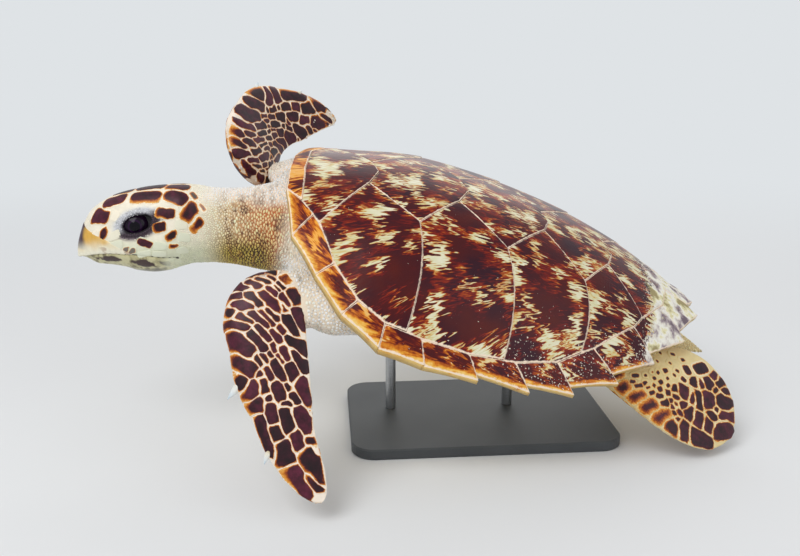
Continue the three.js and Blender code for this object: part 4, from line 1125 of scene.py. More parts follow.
class Chart:
    """A surface laid flat: a grid of points whose first direction is a place along it and whose
    second is a length round it. It is read between its points by shares of the four around."""

    def __init__(self, along, start, length, grid, closed):
        """Keeps each section's place, where its lengths start, how long it is, and its points."""
        self.along, self.start, self.length, self.grid, self.closed = along, start, length, grid, closed
        self.out = grid_normals(grid, closed)

    def share_across(self, x, y):
        """A flat place's share of the length round the surface at that place along it."""
        return (y - np.interp(x, self.along, self.start)) / np.interp(x, self.along, self.length)

    def read(self, flat, height):
        """The point at a height over a flat place, along the surface's outward direction."""
        x = np.clip(flat[..., 0], self.along[0], self.along[-1])
        i = np.clip(np.interp(x, self.along, np.arange(len(self.along))), 0, len(self.along) - 1.001)
        share = self.share_across(x, flat[..., 1])
        columns = self.grid.shape[1]
        j = share % 1 * columns if self.closed else np.clip(share, 0.0, 1.0) * (columns - 1.001)
        a, b = np.floor(i).astype(int), np.floor(j).astype(int)
        u, v = (i - a)[..., None], (j - b)[..., None]
        b, after = b % columns, (b + 1) % columns
        both = np.concatenate([self.grid, self.out], -1)
        value = (both[a, b] * (1 - u) * (1 - v) + both[a + 1, b] * u * (1 - v)
                 + both[a, after] * (1 - u) * v + both[a + 1, after] * u * v)
        out = value[..., 3:] / np.linalg.norm(value[..., 3:], axis=-1, keepdims=True)
        return value[..., :3] + out * height[..., None]

    def root(self, flat, corner, size):
        """A flat place on the unwrap: its shares along and round, inside one box of the sheet."""
        along = (flat[:, 0] - self.along[0]) / (self.along[-1] - self.along[0])
        across = self.share_across(*flat.T) % 1
        return np.array(corner) + np.column_stack([np.clip(along, 0, 1), across]) * size

    def edges(self, inset):
        """The flat outline of an open chart, drawn in a little."""
        first = np.column_stack([self.along, self.start + inset])
        last = np.column_stack([self.along, self.start + self.length - inset])
        tip = np.linspace(0, 1, 9)[:, None] * (last[-1] - first[-1]) + first[-1] - [inset, 0]
        return np.concatenate([first[:-2], tip, last[-3::-1]])


def cores(rows):
    """Rows of [along, across, length, turn in degrees, half-width] as middles, axes and widths."""
    rows = np.array(rows, float)
    turn = np.radians(rows[:, 3])
    return rows[:, :2], rows[:, 2:3] / 2 * np.column_stack([np.cos(turn), np.sin(turn)]), rows[:, 4]


# Keratin plates, smooth and satin: plum-brown in the middle, an amber fringe, a cream border
keratin, tree, surface = new_material("scale keratin")
place = node(tree, "TexCoord", output="Object")
inside, fringe, ragged, dark, tone = (
    node(tree, "Attribute", output="Fac", attribute_name=name)
    for name in ("inside", "fringe", "ragged", "dark", "tone"))
fine = node(tree, "TexNoise", [place, 1000 / 2, 3.0, 0.65])
broad = node(tree, "TexNoise", [place, 1000 / 8, 3.0, 0.6])
uneven = node(tree, "Math", [fine, 0.5], operation="SUBTRACT")
inside = weighted(tree, inside, (uneven, ragged))
across = node(tree, "Math", [inside, fringe], operation="DIVIDE")
tone = weighted(tree, 0.0, (tone, 0.3), (broad, 0.75))
plum = node(tree, "ValToRGB", [tone], stops=[
    (0.25, "#19040b"), (0.45, "#2b0814"), (0.6, "#431022"), (0.8, "#5e1d34")])
amber = node(tree, "ValToRGB", [across], stops=[
    (0.0, "#e9b864"), (0.25, "#d07f26"), (0.55, "#873812"), (0.85, "#431512")])
marked = laid_over(tree, amber, plum, across, 0.6, 1.1)
share = node(tree, "MapRange", [inside, -0.25, 0.2], interpolation_type="SMOOTHSTEP")
share = node(tree, "Math", [share, dark], operation="MULTIPLY")
border = node(tree, "Attribute", output="Color", attribute_name="tint")
plug(tree, surface, {
    "Base Color": node(tree, "Mix", [share, border, marked], data_type="RGBA"),
    "Roughness": 0.38, "Specular IOR Level": 0.28,
    "Normal": node(tree, "Bump", {"Height": fine, "Distance": 0.0003, "Strength": 0.5})})

PLATE_RINGS = [0.3, 0.55, 0.75, 0.88, 0.96, 1.0, 1.0]
PLATE_HEIGHTS = np.array([0.78, 0.78, 0.77, 0.74, 0.7, 0.6, 0.35, -0.5, -0.5])
random = np.random.default_rng(7)

# ---- Flipper scales ----
# Large plates stand along the leading edge and at the tip, and smaller ones between. Each is one
# row here: its place along and across the flipper, its core's length and turn, and half its width.

FORE_SCALES = [
    [-22, 0, 16, -85, 1.4], [-15, 10, 13, 70, 2.4], [-17, 16, 6, 60, 1.9], [-22, 17, 7, 70, 1.1],
    [-11, 3, 13, 70, 3.0], [-7, 18, 8, 55, 2.9], [2, 27, 10, 35, 2.9], [-11, 26, 7, 50, 1.9],
    [-16, 27, 9, 45, 1.1], [-8, 24, 6, 45, 1.3], [1, 34, 13, 35, 2.4], [-9, -11, 16, 80, 2.2],
    [0, -18, 12, -80, 2.2], [4, 4, 15, 50, 3.8], [6, 16, 18, 45, 4.8], [9, -5, 16, 80, 3.5],
    [14, -19, 5, -65, 3.8], [11, 28, 7, 35, 1.6], [19, 16, 17, 45, 2.7], [17, 21, 11, 45, 2.9],
    [21, -5, 15, 70, 2.7], [23, 10, 18, 55, 3.7], [28, -8, 21, 80, 3.7], [29, 35, 14, 30, 4.5],
    [22, 43, 18, 25, 3.6], [35, 14, 15, 40, 3.7], [34, 26, 6, 55, 2.6], [40, 26, 11, 40, 3.0],
    [43, 8, 17, 45, 4.6], [46, -3, 18, 55, 7.7], [49, 22, 5, 30, 2.7], [54, 31, 10, 35, 3.5],
    [54, 19, 4, 30, 1.7], [45, 40, 19, 50, 4.0], [63, -2, 13, 60, 7.0], [64, 11, 9, 40, 1.9],
    [61, 17, 7, 35, 2.2], [60, 26, 8, 35, 1.7], [72, 36, 7, 20, 5.2], [63, 46, 19, 35, 4.0],
    [72, 27, 16, 30, 4.0], [77, 20, 11, 30, 2.6], [77, -4, 8, 70, 6.9], [75, 10, 1, 85, 2.6],
    [86, 35, 6, 25, 1.1], [91, 48, 18, 20, 6.9], [88, 4, 9, -35, 5.5], [86, 16, 8, 20, 3.7],
    [89, 27, 9, 25, 5.7], [103, 8, 6, -75, 6.0], [98, 19, 2, 0, 2.6], [101, 33, 5, 90, 2.4],
    [101, 44, 9, 50, 2.6], [113, 24, 11, 20, 4.9], [116, 36, 13, 15, 5.7], [118, 51, 15, 30, 6.9],
    [109, 58, 4, 60, 1.1], [132, 18, 29, 20, 6.4], [130, 31, 5, 20, 5.5], [134, 45, 8, 15, 5.5],
    [134, 58, 9, 65, 3.6], [146, 65, 2, 60, 2.4], [149, 37, 9, 10, 7.3], [155, 59, 20, 35, 8.0],
    [172, 50, 24, 35, 7.3], [173, 64, 14, 45, 2.7], [187, 61, 5, 50, 3.4],
]
HIND_SCALES = [
    [-38, -40, 8, 60, 5], [-21, -47, 5, 70, 6], [-6, -44, 10, 55, 5.4], [10, -42, 8, 55, 6.2],
    [28, -40, 10, 65, 5.7], [44, -44, 4, -45, 6.2], [57, -35, 7, -60, 5.1], [76, -28, 10, 15, 6.5],
    [98, 2, 13, 70, 8.1],
    [-19, -27, 5, 45, 1.9], [-18, -34, 3, 40, 1.6], [-11, -33, 6, 50, 1.9], [-6, -24, 3, 75, 1.5],
    [-1, -27, 3, 60, 1.5], [-10, -17, 1, 55, 1.1], [-5, -6, 1, 80, 1.1], [1, -1, 1, 85, 2.0],
    [7, 9, 2, 60, 2.7], [0, -11, 1, 60, 1.6], [4, -19, 1, -85, 2.0], [8, -9, 1, 75, 2.4],
    [13, 2, 1, 75, 1.3], [12, -17, 1, 55, 3.0], [17, -5, 1, 70, 2.3], [6, -28, 3, 60, 2.2],
    [15, -24, 5, 40, 2.4], [21, -13, 1, 45, 2.5], [24, -27, 2, 55, 3.6], [18, 13, 1, 15, 1.6],
    [19, 22, 1, 15, 2.0], [26, -2, 1, 65, 3.3], [31, -10, 2, -20, 2.4], [29, -18, 1, 45, 1.2],
    [34, -17, 1, -35, 1.7], [33, -23, 1, 10, 1.4], [37, 4, 1, -20, 6.1], [48, 6, 3, -60, 2.7],
    [55, 11, 10, -65, 2.5], [66, 21, 7, -65, 5.7], [83, 36, 2, -70, 7.6], [44, -12, 2, 40, 2.8],
    [53, -15, 2, -40, 5.1], [43, -23, 1, -15, 2.4], [39, -28, 1, 10, 2.0], [45, -31, 1, 25, 2.3],
    [66, -13, 2, -75, 6.0], [78, -9, 3, -90, 5.0], [78, 8, 1, -50, 3.3], [93, 22, 12, 45, 4.4],
    [79, 18, 1, 35, 1.5], [59, 42, 1, 60, 5.1], [68, 41, 1, 50, 2.1], [70, 53, 3, 70, 2.3],
    [79, 50, 1, -20, 2.4], [60, 55, 1, 60, 1.6], [28, 34, 2, -35, 5.0], [42, 52, 9, 60, 5.1],
    [19, 43, 1, 55, 2.0], [42, 28, 1, 5, 3.3], [50, 32, 1, 5, 2.7], [-30, -16, 1, 0, 1.5],
    [8, 24, 1, 0, 1.6], [-6, 12, 1, 0, 1.3], [6, 40, 2, 40, 2.0], [-18, 2, 1, 0, 1.2],
    [30, 18, 1, 0, 1.8], [-8, 28, 1, 0, 1.4], [-28, -2, 1, 0, 1.3], [-32, -28, 2, 40, 1.6],
]


def limb_chart(limb, hand, back):
    """One side of a flipper laid flat: places along it, and lengths across from edge to edge, with
    the middle of the section at the middle of the plan."""
    first, last = limb["rows"][0][0] + 1.0, limb["rows"][-1][0] - 0.4
    along = np.linspace(first, last, 150)
    angle = np.pi - np.linspace(0.0, np.pi, 121)
    section = flipper_section(limb, hand, along, angle if back else -angle, -COAT)
    grid, length = evenly(section, np.linspace(0, 1, 61))
    plan = curves(limb["rows"])(along)
    chart = Chart(along, plan[:, :2].mean(1) - length / 2, length, grid, False)
    middle = flipper_section(limb, hand, along, np.array([0.0, np.pi]), -COAT).mean(1)[:, None]
    chart.out *= np.sign(np.median((chart.out * (grid - middle)).sum(-1)))
    return chart


def mirrored_in(line, middle, axis):
    """Cores reflected in a mirror at the nearest place of a line, square to the way there."""
    off = line[((middle[:, None] - line[None]) ** 2).sum(-1).argmin(1)] - middle
    way = off / (np.linalg.norm(off, axis=1, keepdims=True) + 1e-6)
    return middle + 2 * off, axis - 2 * (axis * way).sum(1, keepdims=True) * way


# The places on the skin that each flipper's scales cover
covered = {}


def flipper_coat(name, chart, model, rows, values_at, corner, room_for, columns=26):
    """A flipper side's scales. Their places are stretched from the model's width to this chart's.
    Each core is also reflected in the outline, so that scales beside it end along it."""
    middle, axis, wide = cores(rows)
    share = model.share_across(*middle.T)
    length, start = (np.interp(middle[:, 0], chart.along, v) for v in (chart.length, chart.start))
    middle = np.column_stack([middle[:, 0], start + np.clip(share, 0.03, 0.97) * length])
    middle = settled(middle + random.normal(0, 0.25, middle.shape), axis, wide, 1.4)
    image, turned = mirrored_in(chart.edges(0.5), middle, axis)
    places, axes = np.concatenate([middle, image]), np.concatenate([axis, turned])
    widths = np.concatenate([wide, wide])
    index = nearest(places, 18, 400.0)[:len(middle)]
    others = (places[index] - middle[:, None], axes[index], widths[index])
    cap, spare = room_for(middle)
    gap = gap_function((axis, wide), others, 0.7, 0.25, cap)
    reach = reach_of(gap, np.linalg.norm(axis, axis=1) + wide + cap, columns)
    spots = np.array([0, 0.35, 0.7, 1.0])[:, None, None] * reach[:, None, ::2] + middle[:, None, None]
    spots = spots.reshape(-1, 2)
    covered.setdefault(name.rsplit("_", 1)[0], []).append(chart.read(spots, 0 * spots[:, 0]))

    def place_at(local, lift):
        """The point at a height over a flat place about each scale's middle."""
        return chart.read(local + middle[:, None], lift)

    def paint(local, room, home):
        """The scale's values, from how far inside the dark part's wavering edge a point lies."""
        wobble = 0.7 * lumps(np.concatenate([local + middle[:, None], 0 * local[..., :1]], -1), 5, 21)
        return values_at(middle, local, np.minimum(room - 0.15, spare[:, None] - home) + wobble)

    coat(name, place_at, reach, gap, PLATE_RINGS, PLATE_HEIGHTS, paint,
         chart.root(middle, corner, (0.22, 0.22)), keratin)


def spread(values, shape):
    """One value for each scale, given to all its points."""
    return np.broadcast_to(values[:, None], shape).copy()


def fore_paint(middle, local, inside):
    """Dark plates with an amber fringe that widens to the leading edge and to the tip."""
    count, shape = len(middle), local.shape[:2]
    lead = np.interp(middle[:, 0], *np.array(FORE_PLAN)[:, :2].T)
    leading = smooth(-(middle[:, 1] - lead), -19, -10)[:, None] * smooth(middle[:, :1], -12, 8)
    toward = smooth(-local[..., 1] + 0.35 * local[..., 0], 0, 9)
    tip = smooth(middle[:, 0], 120, 175)[:, None]
    fringe = 0.7 + 0.5 * random.random((count, 1)) + (5.5 * leading + 2.2 * tip) * toward
    return {
        "inside": inside, "fringe": np.broadcast_to(fringe, shape), "dark": np.ones(shape),
        "tone": spread(random.random(count), shape), "ragged": 0.5 + 0.5 * np.broadcast_to(fringe, shape),
        "tint": np.tile(np.array(srgb("#f4e9da")[:3], float), (*shape, 1)),
    }


def fore_room(middle):
    """How far plates reach from their cores, a little further at the tip, and all of that dark."""
    tip = smooth(middle[:, 0], 140, 165)
    return 8 + 4 * tip, 14 + 4 * tip


def hind_zones(middle):
    """How much each plate is one of the tip's large ones, and of the leading edge's row."""
    tip = smooth(middle[:, 0] - 0.3 * middle[:, 1], 18, 46)
    return tip, smooth(-middle[:, 1], 34, 40) * smooth(-middle[:, 0], -48, -34)


def hind_room(middle):
    """How far plates reach from their cores, and how far of that is dark: far at the tip."""
    tip, front = hind_zones(middle)
    return 3.6 + 5 * np.maximum(tip, front), 0.6 + 8 * tip + 1.6 * front


def hind_paint(middle, local, inside):
    """Amber-brown plates in front, small dark spots on cream amid, large dark plates at the tip."""
    count, shape = len(middle), local.shape[:2]
    tip, front = hind_zones(middle)
    small = (1 - tip) * (1 - front)
    fringe = 0.6 + 0.4 * random.random(count) + 5 * front + 0.5 * tip + 0.5 * small
    tint = mix(smooth(middle[:, 0], 0, 60), "#dfca90", "#efe2c0")
    return {
        "inside": inside, "fringe": spread(fringe, shape), "dark": np.ones(shape),
        "tone": spread(random.random(count) * (1 - 0.5 * small), shape),
        "ragged": spread(0.7 + 0.9 * fringe, shape), "tint": np.broadcast_to(tint[:, None], (*shape, 3)),
    }


model_fore, model_hind = limb_chart(FORE["left"], -1, True), limb_chart(HIND["left"], -1, True)
for n, (hand, side) in enumerate(SIDES):
    for m, back in enumerate((True, False)):
        face = "upper" if back else "under"
        chart = limb_chart(FORE[side], hand, back)
        flipper_coat(f"scales_fore_{side}_{face}", chart, model_fore, FORE_SCALES, fore_paint,
                     (0.02 + 0.24 * n, 0.02 + 0.24 * m), fore_room)
        chart = limb_chart(HIND[side], hand, back)
        flipper_coat(f"scales_hind_{side}_{face}", chart, model_hind, HIND_SCALES, hind_paint,
                     (0.52 + 0.24 * n, 0.02 + 0.24 * m), hind_room)

# ---- Head scales ----
# Large plates cover the crown, the brow and the cheeks, on both sides alike. Each is one row: its
# place along the head and down from the crown, its core's length and turn, half its width, its
# fringe and how dark it is.

CROWN_SCALES = [[-153, 0, 9, 0, 7, 1, 1], [-129, 0, 12, 0, 10.5, 1, 1]]
SIDE_SCALES = [
    [-165, 14, 11, 8, 6.6, 1.2, 1], [-100, 9, 12, 4, 6.6, 1.2, 1], [-131, 23, 17, 12, 7.2, 1.6, 1],
    [-99, 27, 10, 22, 7.2, 1, 1], [-178, 25, 13, 42, 5.4, 1.3, 1], [-84, 43, 10, -61, 6.3, 2.4, 1],
    [-78, 55, 11, -55, 3.3, 2.6, 1], [-109, 44, 10, 10, 4.3, 1.3, 1], [-116, 59, 3, -11, 4.2, 1.3, 1],
    [-104, 69, 6, -25, 3.2, 1.6, 1], [-131, 73, 11, 33, 2.6, 0.6, 1], [-101, 82, 5, 8, 1.6, 1.4, 1],
    [-177, 45, 4, -87, 3.1, 2.2, 1], [-177, 58, 1, 35, 1.5, 0.8, 0.8], [-154, 74, 1, 0, 1.6, 0.8, 0.8],
    [-147, 78, 2, 0, 1.8, 0.8, 0.8], [-80, 24, 4, 44, 1.8, 1.6, 0.9], [-72, 36, 4, 40, 1.6, 1.6, 0.8],
    [-93, 57, 4, 0, 3, 1, 0], [-92, 70, 4, 0, 3, 1, 0], [-118, 79, 6, 20, 3, 1, 0],
    [-165, 66, 6, 10, 4, 1, 0], [-164, 34, 2, 40, 3, 1, 0], [-118, 88, 8, 0, 2, 1, 0],
    [-135, 84, 8, 0, 2, 1, 0], [-164, 54, 3, 0, 3, 1, 0],
    [-188, 40, 2, 60, 3, 1, 0], [-96, 84, 4, 0, 2.5, 1, 0],
]
head_chart = Chart(head_x, 0 * head_girth, head_girth, head_skin, True)
head_chart.out = head_out
other_side = [[x, -down, length, -turn, *rest] for x, down, length, turn, *rest in SIDE_SCALES]
head_rows = np.array(CROWN_SCALES + SIDE_SCALES + other_side)
head_middle, head_axis, head_wide = cores(head_rows)
head_middle = settled(head_middle + random.normal(0, 0.3, head_middle.shape), head_axis, head_wide, 2.2, 12)
index = nearest(head_middle, 12, 400.0)
others = (head_middle[index] - head_middle[:, None], head_axis[index], head_wide[index])
head_gap = gap_function((head_axis, head_wide), others, 0.8, 0.3, 2.4)
reach = reach_of(head_gap, np.linalg.norm(head_axis, axis=1) + head_wide + 3, 30)


def head_paint(local, room, home):
    """Plum-dark cores with orange fringes, wider below the brow's, on cream plates."""
    shape = local.shape[:2]
    down = np.sign(head_middle[:, 1])[:, None] * local[..., 1]
    brow = (head_rows[:, 0] == -131) & (np.abs(head_rows[:, 1]) == 23)
    below = brow[:, None] * smooth(down - 0.15 * local[..., 0], 1, 5)
    ahead = smooth(0.6 * down - local[..., 0], 0, 6) * (head_middle[:, :1] > -125)
    fringe = head_rows[:, 5:6] + 0.3 + 5 * below + 2.2 * ahead
    tint = mix(smooth(np.abs(head_middle[:, 1]), 40, 75), "#f6edd8", "#e2e5cd")
    flat = np.concatenate([local + head_middle[:, None], 0 * local[..., :1]], -1)
    wobble = lumps(flat, 7, 22) + 0.5 * lumps(flat, 3, 23)
    return {
        "inside": np.minimum(room - 0.45, 1.3 + 3 * below + 0.8 * ahead - home) + 1.1 * wobble,
        "fringe": np.broadcast_to(fringe, shape),
        "dark": spread(head_rows[:, 6], shape), "tone": spread(random.random(len(head_rows)), shape),
        "ragged": 0.4 + 0.5 * np.broadcast_to(fringe, shape),
        "tint": np.broadcast_to(tint[:, None], (*shape, 3)),
    }


def head_point(local, lift):
    """The point at a height over a flat place about each plate's middle."""
    return head_chart.read(local + head_middle[:, None], lift)


head_heights = PLATE_HEIGHTS * np.where(PLATE_HEIGHTS > 0, 0.85, 1)
coat("scales_head", head_point, reach, head_gap, PLATE_RINGS, head_heights, head_paint,
     head_chart.root(head_middle, (0.02, 0.52), (0.3, 0.3)), keratin)

# ---- Beak and jaw ----
# Horn sheaths over the jaws: a hooked, narrow upper beak, cream with a dark stripe down its front
# and a white cutting edge, and a pale green lower jaw, blotched brown along the mouth.


def sheath(name, covers, lift, colours, first, last, replaced):
    """A closed net over the head's sections between two places. Where covers is 1 it stands proud
    of the skin by the lift, and elsewhere it lies just under it."""
    rows = (head_x > first) & (head_x < last)
    share = covers(head_grid[rows])
    out = head_out[rows] * (head_relief(head_grid[rows]) + share * (lift + 0.6) - 0.6)[..., None]
    points, tris, quads = closed_net(head_grid[rows] + out)
    tint = colours(head_grid[rows])
    tint = np.concatenate([tint.reshape(-1, 3), tint[0, :1], tint[-1, :1]])
    made = build(name, from_level(points), tris, quads, horn_sheath, tint=tint)
    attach(made, "root")
    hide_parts(replaced)


# Beak horn, worn smooth by use: streaks along the jaw in its own yellows, and a low gloss
horn_sheath, tree, surface = new_material("beak horn, semi-gloss")
place = node(tree, "TexCoord", output="Object")
drawn_out = node(tree, "Mapping", {"Vector": place, "Scale": (1.0, 1.0, 0.35)})
streaks = node(tree, "TexNoise", [drawn_out, 1000 / 2.8, 3.0, 0.6])
plug(tree, surface, {
    "Base Color": tinted(tree, streaks, 0.3), "Roughness": 0.33, "IOR": 1.54,
    "Normal": node(tree, "Bump", {"Height": streaks, "Distance": 0.0004, "Strength": 0.5})})

BEAK_EDGE = curves([
    [-220, -8], [-206, -10], [-196, -19], [-180, -27], [-160, -37], [-150, -43], [-146, -47],
])


def beak_cover(points):
    """One between the mouth and the sheath's upper edge, which falls back from the nostril."""
    x, z = points[..., 0], points[..., 2]
    above = smooth(z - MOUTH(x)[..., 0], -0.3, 0.5)
    return above * smooth(BEAK_EDGE(x)[..., 0] - z, -0.4, 0.9) * smooth(-x, 147, 149)


def beak_colours(flat):
    """Straw yellow, dark down the front, and white for some millimetres over the cutting edge."""
    x, y, z = flat[..., 0], np.abs(flat[..., 1]), flat[..., 2]
    wobble = lumps(flat, 6, 11)
    colour = mix(smooth(x + 7 * wobble - 0.3 * (z + 30), -186, -160), "#dcab45", "#e8dfb8")
    ridge = smooth(-y + 1.3 * wobble, -14, -10) * smooth(-x, 192, 197)
    colour = mix(ridge * smooth(z + 2 * wobble, -44, -40) * smooth(-z, 10, 15), colour, "#3a1a2c")
    colour = mix(smooth(-(z - MOUTH(x)[..., 0]) + 2.5 * wobble, -20, -3), colour, "#f0ebd4")
    blotch = smooth(wobble + 0.5 * lumps(flat, 3, 12), 0.35, 0.75)
    return mix(0.55 * blotch * smooth(x, -188, -176) * smooth(-z, 30, 36), colour, "#9a6a3c")


def jaw_cover(points):
    """One below the mouth, back to the corner where the throat's skin starts."""
    x, z = points[..., 0], points[..., 2]
    return smooth(MOUTH(x)[..., 0] - z, -0.3, 0.5) * smooth(-x + 0.35 * (z + 50), 101, 104)


def jaw_colours(flat):
    """Pale green horn with three brown blotches on each side, two of them long, and grey beneath:
    painted shade under the jaw.
    """
    x, z = flat[..., 0], flat[..., 2]
    wobble = lumps(flat, 7, 13) + 0.4 * lumps(flat, 2.5, 14)
    colour = mix(smooth(wobble, -0.4, 0.8), "#cdc79c", "#aea67a")
    mottle = lumps(flat, 5, 15) + 0.6 * lumps(flat, 2, 16)
    colour = mix(0.75 * smooth(mottle, 0.05, 0.6) * smooth(x, -206, -196), colour, "#665a35")
    below = MOUTH(x)[..., 0] - z
    for at, depth, long, deep in ((-172, 5.5, 15, 3.6), (-135, 8.5, 12, 4.2), (-112, 6, 6, 2.6)):
        off = ((x - at) / long) ** 2 + ((below - depth - 0.06 * (x - at)) / deep) ** 2
        colour = mix(smooth(0.9 * wobble + 0.5 * mottle - off, -1.1, -0.6), colour, "#3d2620")
    # Grey under the jaw: painted shade.
    colour = mix(0.75 * smooth(-z + 3 * wobble, 60, 66), colour, "#7f7f7a")
    return mix(smooth(x + 3 * wobble, -122, -104), colour, "#dde0c4")


sheath("beak", beak_cover, 0.75, beak_colours, -211.2, -140, "beak_upper")
sheath("jaw", jaw_cover, 0.55, jaw_colours, -210.4, -92, "jaw_lower")

# ---- Eyes ----
# The eyeballs are large, dark and wet: a black pupil in a deep brown iris, with a clear bulge over
# it. Each sits in a socket of the skin, and the lids close round it.

# Eye under a film of water: nearly black, with faint spokes in the iris and a small, sharp gloss
eye_wet, tree, surface = new_material("eye, wet and clear")
spoke = node(tree, "Attribute", output="Vector", attribute_name="spoke")
spokes = node(tree, "TexNoise", [spoke, 1.0, 3.0, 0.6])
from_middle = node(tree, "Attribute", output="Fac", attribute_name="away")
ring = node(tree, "MapRange", [weighted(tree, from_middle, (spokes, 0.8)), 3.0, 11.0])
iris = node(tree, "ValToRGB", [ring], stops=[
    (0.0, "#06020b"), (0.34, "#08030e"), (0.44, "#2c1034"), (0.6, "#220b29"), (0.72, "#0c0412"),
    (1.0, "#1c0c20")])
plug(tree, surface, {
    "Base Color": iris, "Roughness": 0.12, "IOR": 1.2,
    "Coat Weight": 0.35, "Coat IOR": 1.3, "Coat Roughness": 0.03})

EYE_SIZE = np.array([15.9, 11.9, 13.9])
for hand, side in SIDES:
    across = np.linspace(0.04, np.pi - 0.04, 61)[:, None]
    angle = circle(96)[None]
    ball = np.stack([
        np.sin(across) * np.cos(angle), hand * np.cos(across) + 0 * angle, np.sin(across) * np.sin(angle),
    ], -1) * EYE_SIZE
    away = np.hypot(ball[..., 0], ball[..., 2])
    cornea = np.where(ball[..., 1] * hand > 0, 0.5 * np.exp(-(away / 5.5) ** 4), 0)
    ball[..., 1] += hand * cornea
    points, tris, quads = closed_net(ball + EYE_AT * [1, hand, 1])
    front = np.concatenate([(ball[..., 1] * hand > 0).ravel(), [True, False]])
    ring_at = np.where(front, np.concatenate([away.ravel(), [0, 0]]), 12.0)
    spoke = np.concatenate([(ball / (away[..., None] + 0.5) * 6).reshape(-1, 3), np.zeros((2, 3))])
    points = from_level(points)
    eye = build(f"eye_{side}_wet", points, tris, quads, eye_wet, away=ring_at, spoke=spoke)
    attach(eye, "root")
    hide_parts(f"eye_{side}")

# ---- Claws ----
# Two short claws on the leading edge of each fore flipper, hooked a little to the tip. They are
# solid horn, which grows out of the skin and wears down to a blunt point.

# Claw horn: straw at the root and bluish white at the tip, with a dull gloss
claw_horn, tree, surface = new_material("claw horn")
place = node(tree, "TexCoord", output="Object")
streaks = node(tree, "TexNoise", [place, 1000 / 2, 3.0, 0.6])
length = node(tree, "Attribute", output="Fac", attribute_name="length")
tone = node(tree, "ValToRGB", [weighted(tree, length, (streaks, 0.25))], stops=[
    (0.1, "#c9b48c"), (0.35, "#e9e2cf"), (0.8, "#dfe6e8"), (1.0, "#c3d3dc")])
plug(tree, surface, {"Base Color": tone, "Roughness": 0.35, "IOR": 1.54})

# Root and tip, each along and across the flipper, and the radius at the root
CLAWS = {
    "left": [[[80, -6], [98, -22], 5.2], [[146, 20], [158, 15], 3.6]],
    "right": [[[80, -6], [96, -15], 5.2], [[146, 20], [157, 17], 3.6]],
}
for hand, side in SIDES:
    for number, (root, tip, radius) in enumerate(CLAWS[side], 1):
        share = np.linspace(0, 0.985, 26)
        root, tip = np.array(root, float), np.array(tip, float)
        bow = np.array([tip[1] - root[1], root[0] - tip[0]]) * 0.04
        line = root + share[:, None] * (tip - root) + 4 * (share * (1 - share))[:, None] * bow
        angle = circle(28)
        wide = radius * (1 - share ** 1.7)
        along, across = line[:, :1], line[:, 1:]
        middle = limb_place(FORE[side], hand, along, across, 0 * along)
        ahead = unit(middle[-1, 0] - middle[0, 0])
        above = limb_place(FORE[side], hand, along[:1], across[:1], 1 + 0 * along[:1])
        up = unit(above[0, 0] - middle[0, 0])
        sideways = np.cross(ahead, up)
        ring = np.cos(angle)[:, None] * sideways + 0.8 * np.sin(angle)[:, None] * up
        points, tris, quads = closed_net(middle + wide[:, None, None] * ring[None])
        length = np.concatenate([np.repeat(share, len(angle)), [0, 1]])
        claw = build(f"claw_{side}_{number}_horn", from_level(points), tris, quads, claw_horn, length=length)
        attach(claw, "root")
        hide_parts(f"claw_{side}_{number}")

# ---- Stand ----
# A steel base plate, powder-coated dark grey, and two brushed steel rods, which rise from it and
# hold the turtle under its belly. The solids keep their shapes, and only the finish is new.

# Powder-coated steel: dark grey paint with a fine pebble, dull
powder, tree, surface = new_material("powder-coated steel")
place = node(tree, "TexCoord", output="Object")
pebble = node(tree, "TexNoise", [place, 1000 / 0.9, 2.0, 0.5])
broad = node(tree, "TexNoise", [place, 1000 / 50, 2.0, 0.5])
plug(tree, surface, {
    "Base Color": node(tree, "ValToRGB", [broad], stops=[(0.3, "#3c3f42"), (0.7, "#44474a")]),
    "Roughness": 0.55,
    "Normal": node(tree, "Bump", {"Height": pebble, "Distance": 0.00025, "Strength": 0.6})})

# Brushed stainless steel: bright metal whose hairlines run round the rod and break up its gloss.
# They are drawn 0.2 mm apart, coarser than real ones, so that they show.
brushed, tree, surface = new_material("brushed stainless steel")
place = node(tree, "TexCoord", output="Object")
round_it = node(tree, "Mapping", {"Vector": place, "Scale": (1.0, 1.0, 30.0)})
hairline = node(tree, "TexNoise", [round_it, 1000 / 6, 3.0, 0.6])
plug(tree, surface, {
    "Base Color": node(tree, "ValToRGB", [hairline], stops=[(0.3, "#9a9c9e"), (0.7, "#c2c4c6")]),
    "Metallic": 1.0,
    "Roughness": node(tree, "MapRange", {"Value": hairline, "To Min": 0.28, "To Max": 0.42})})

for name in ("stand_base", "stand_rod_front", "stand_rod_rear"):
    solid = bpy.data.objects[name]
    for space in solid.material_slots:
        space.material = powder if name == "stand_base" else brushed

# ---- Granular hide ----
# Between the shell and the plated parts the hide is a pavement of small round scales, finest round
# the eyes and on the neck, where they run into wrinkles round it near the shell.


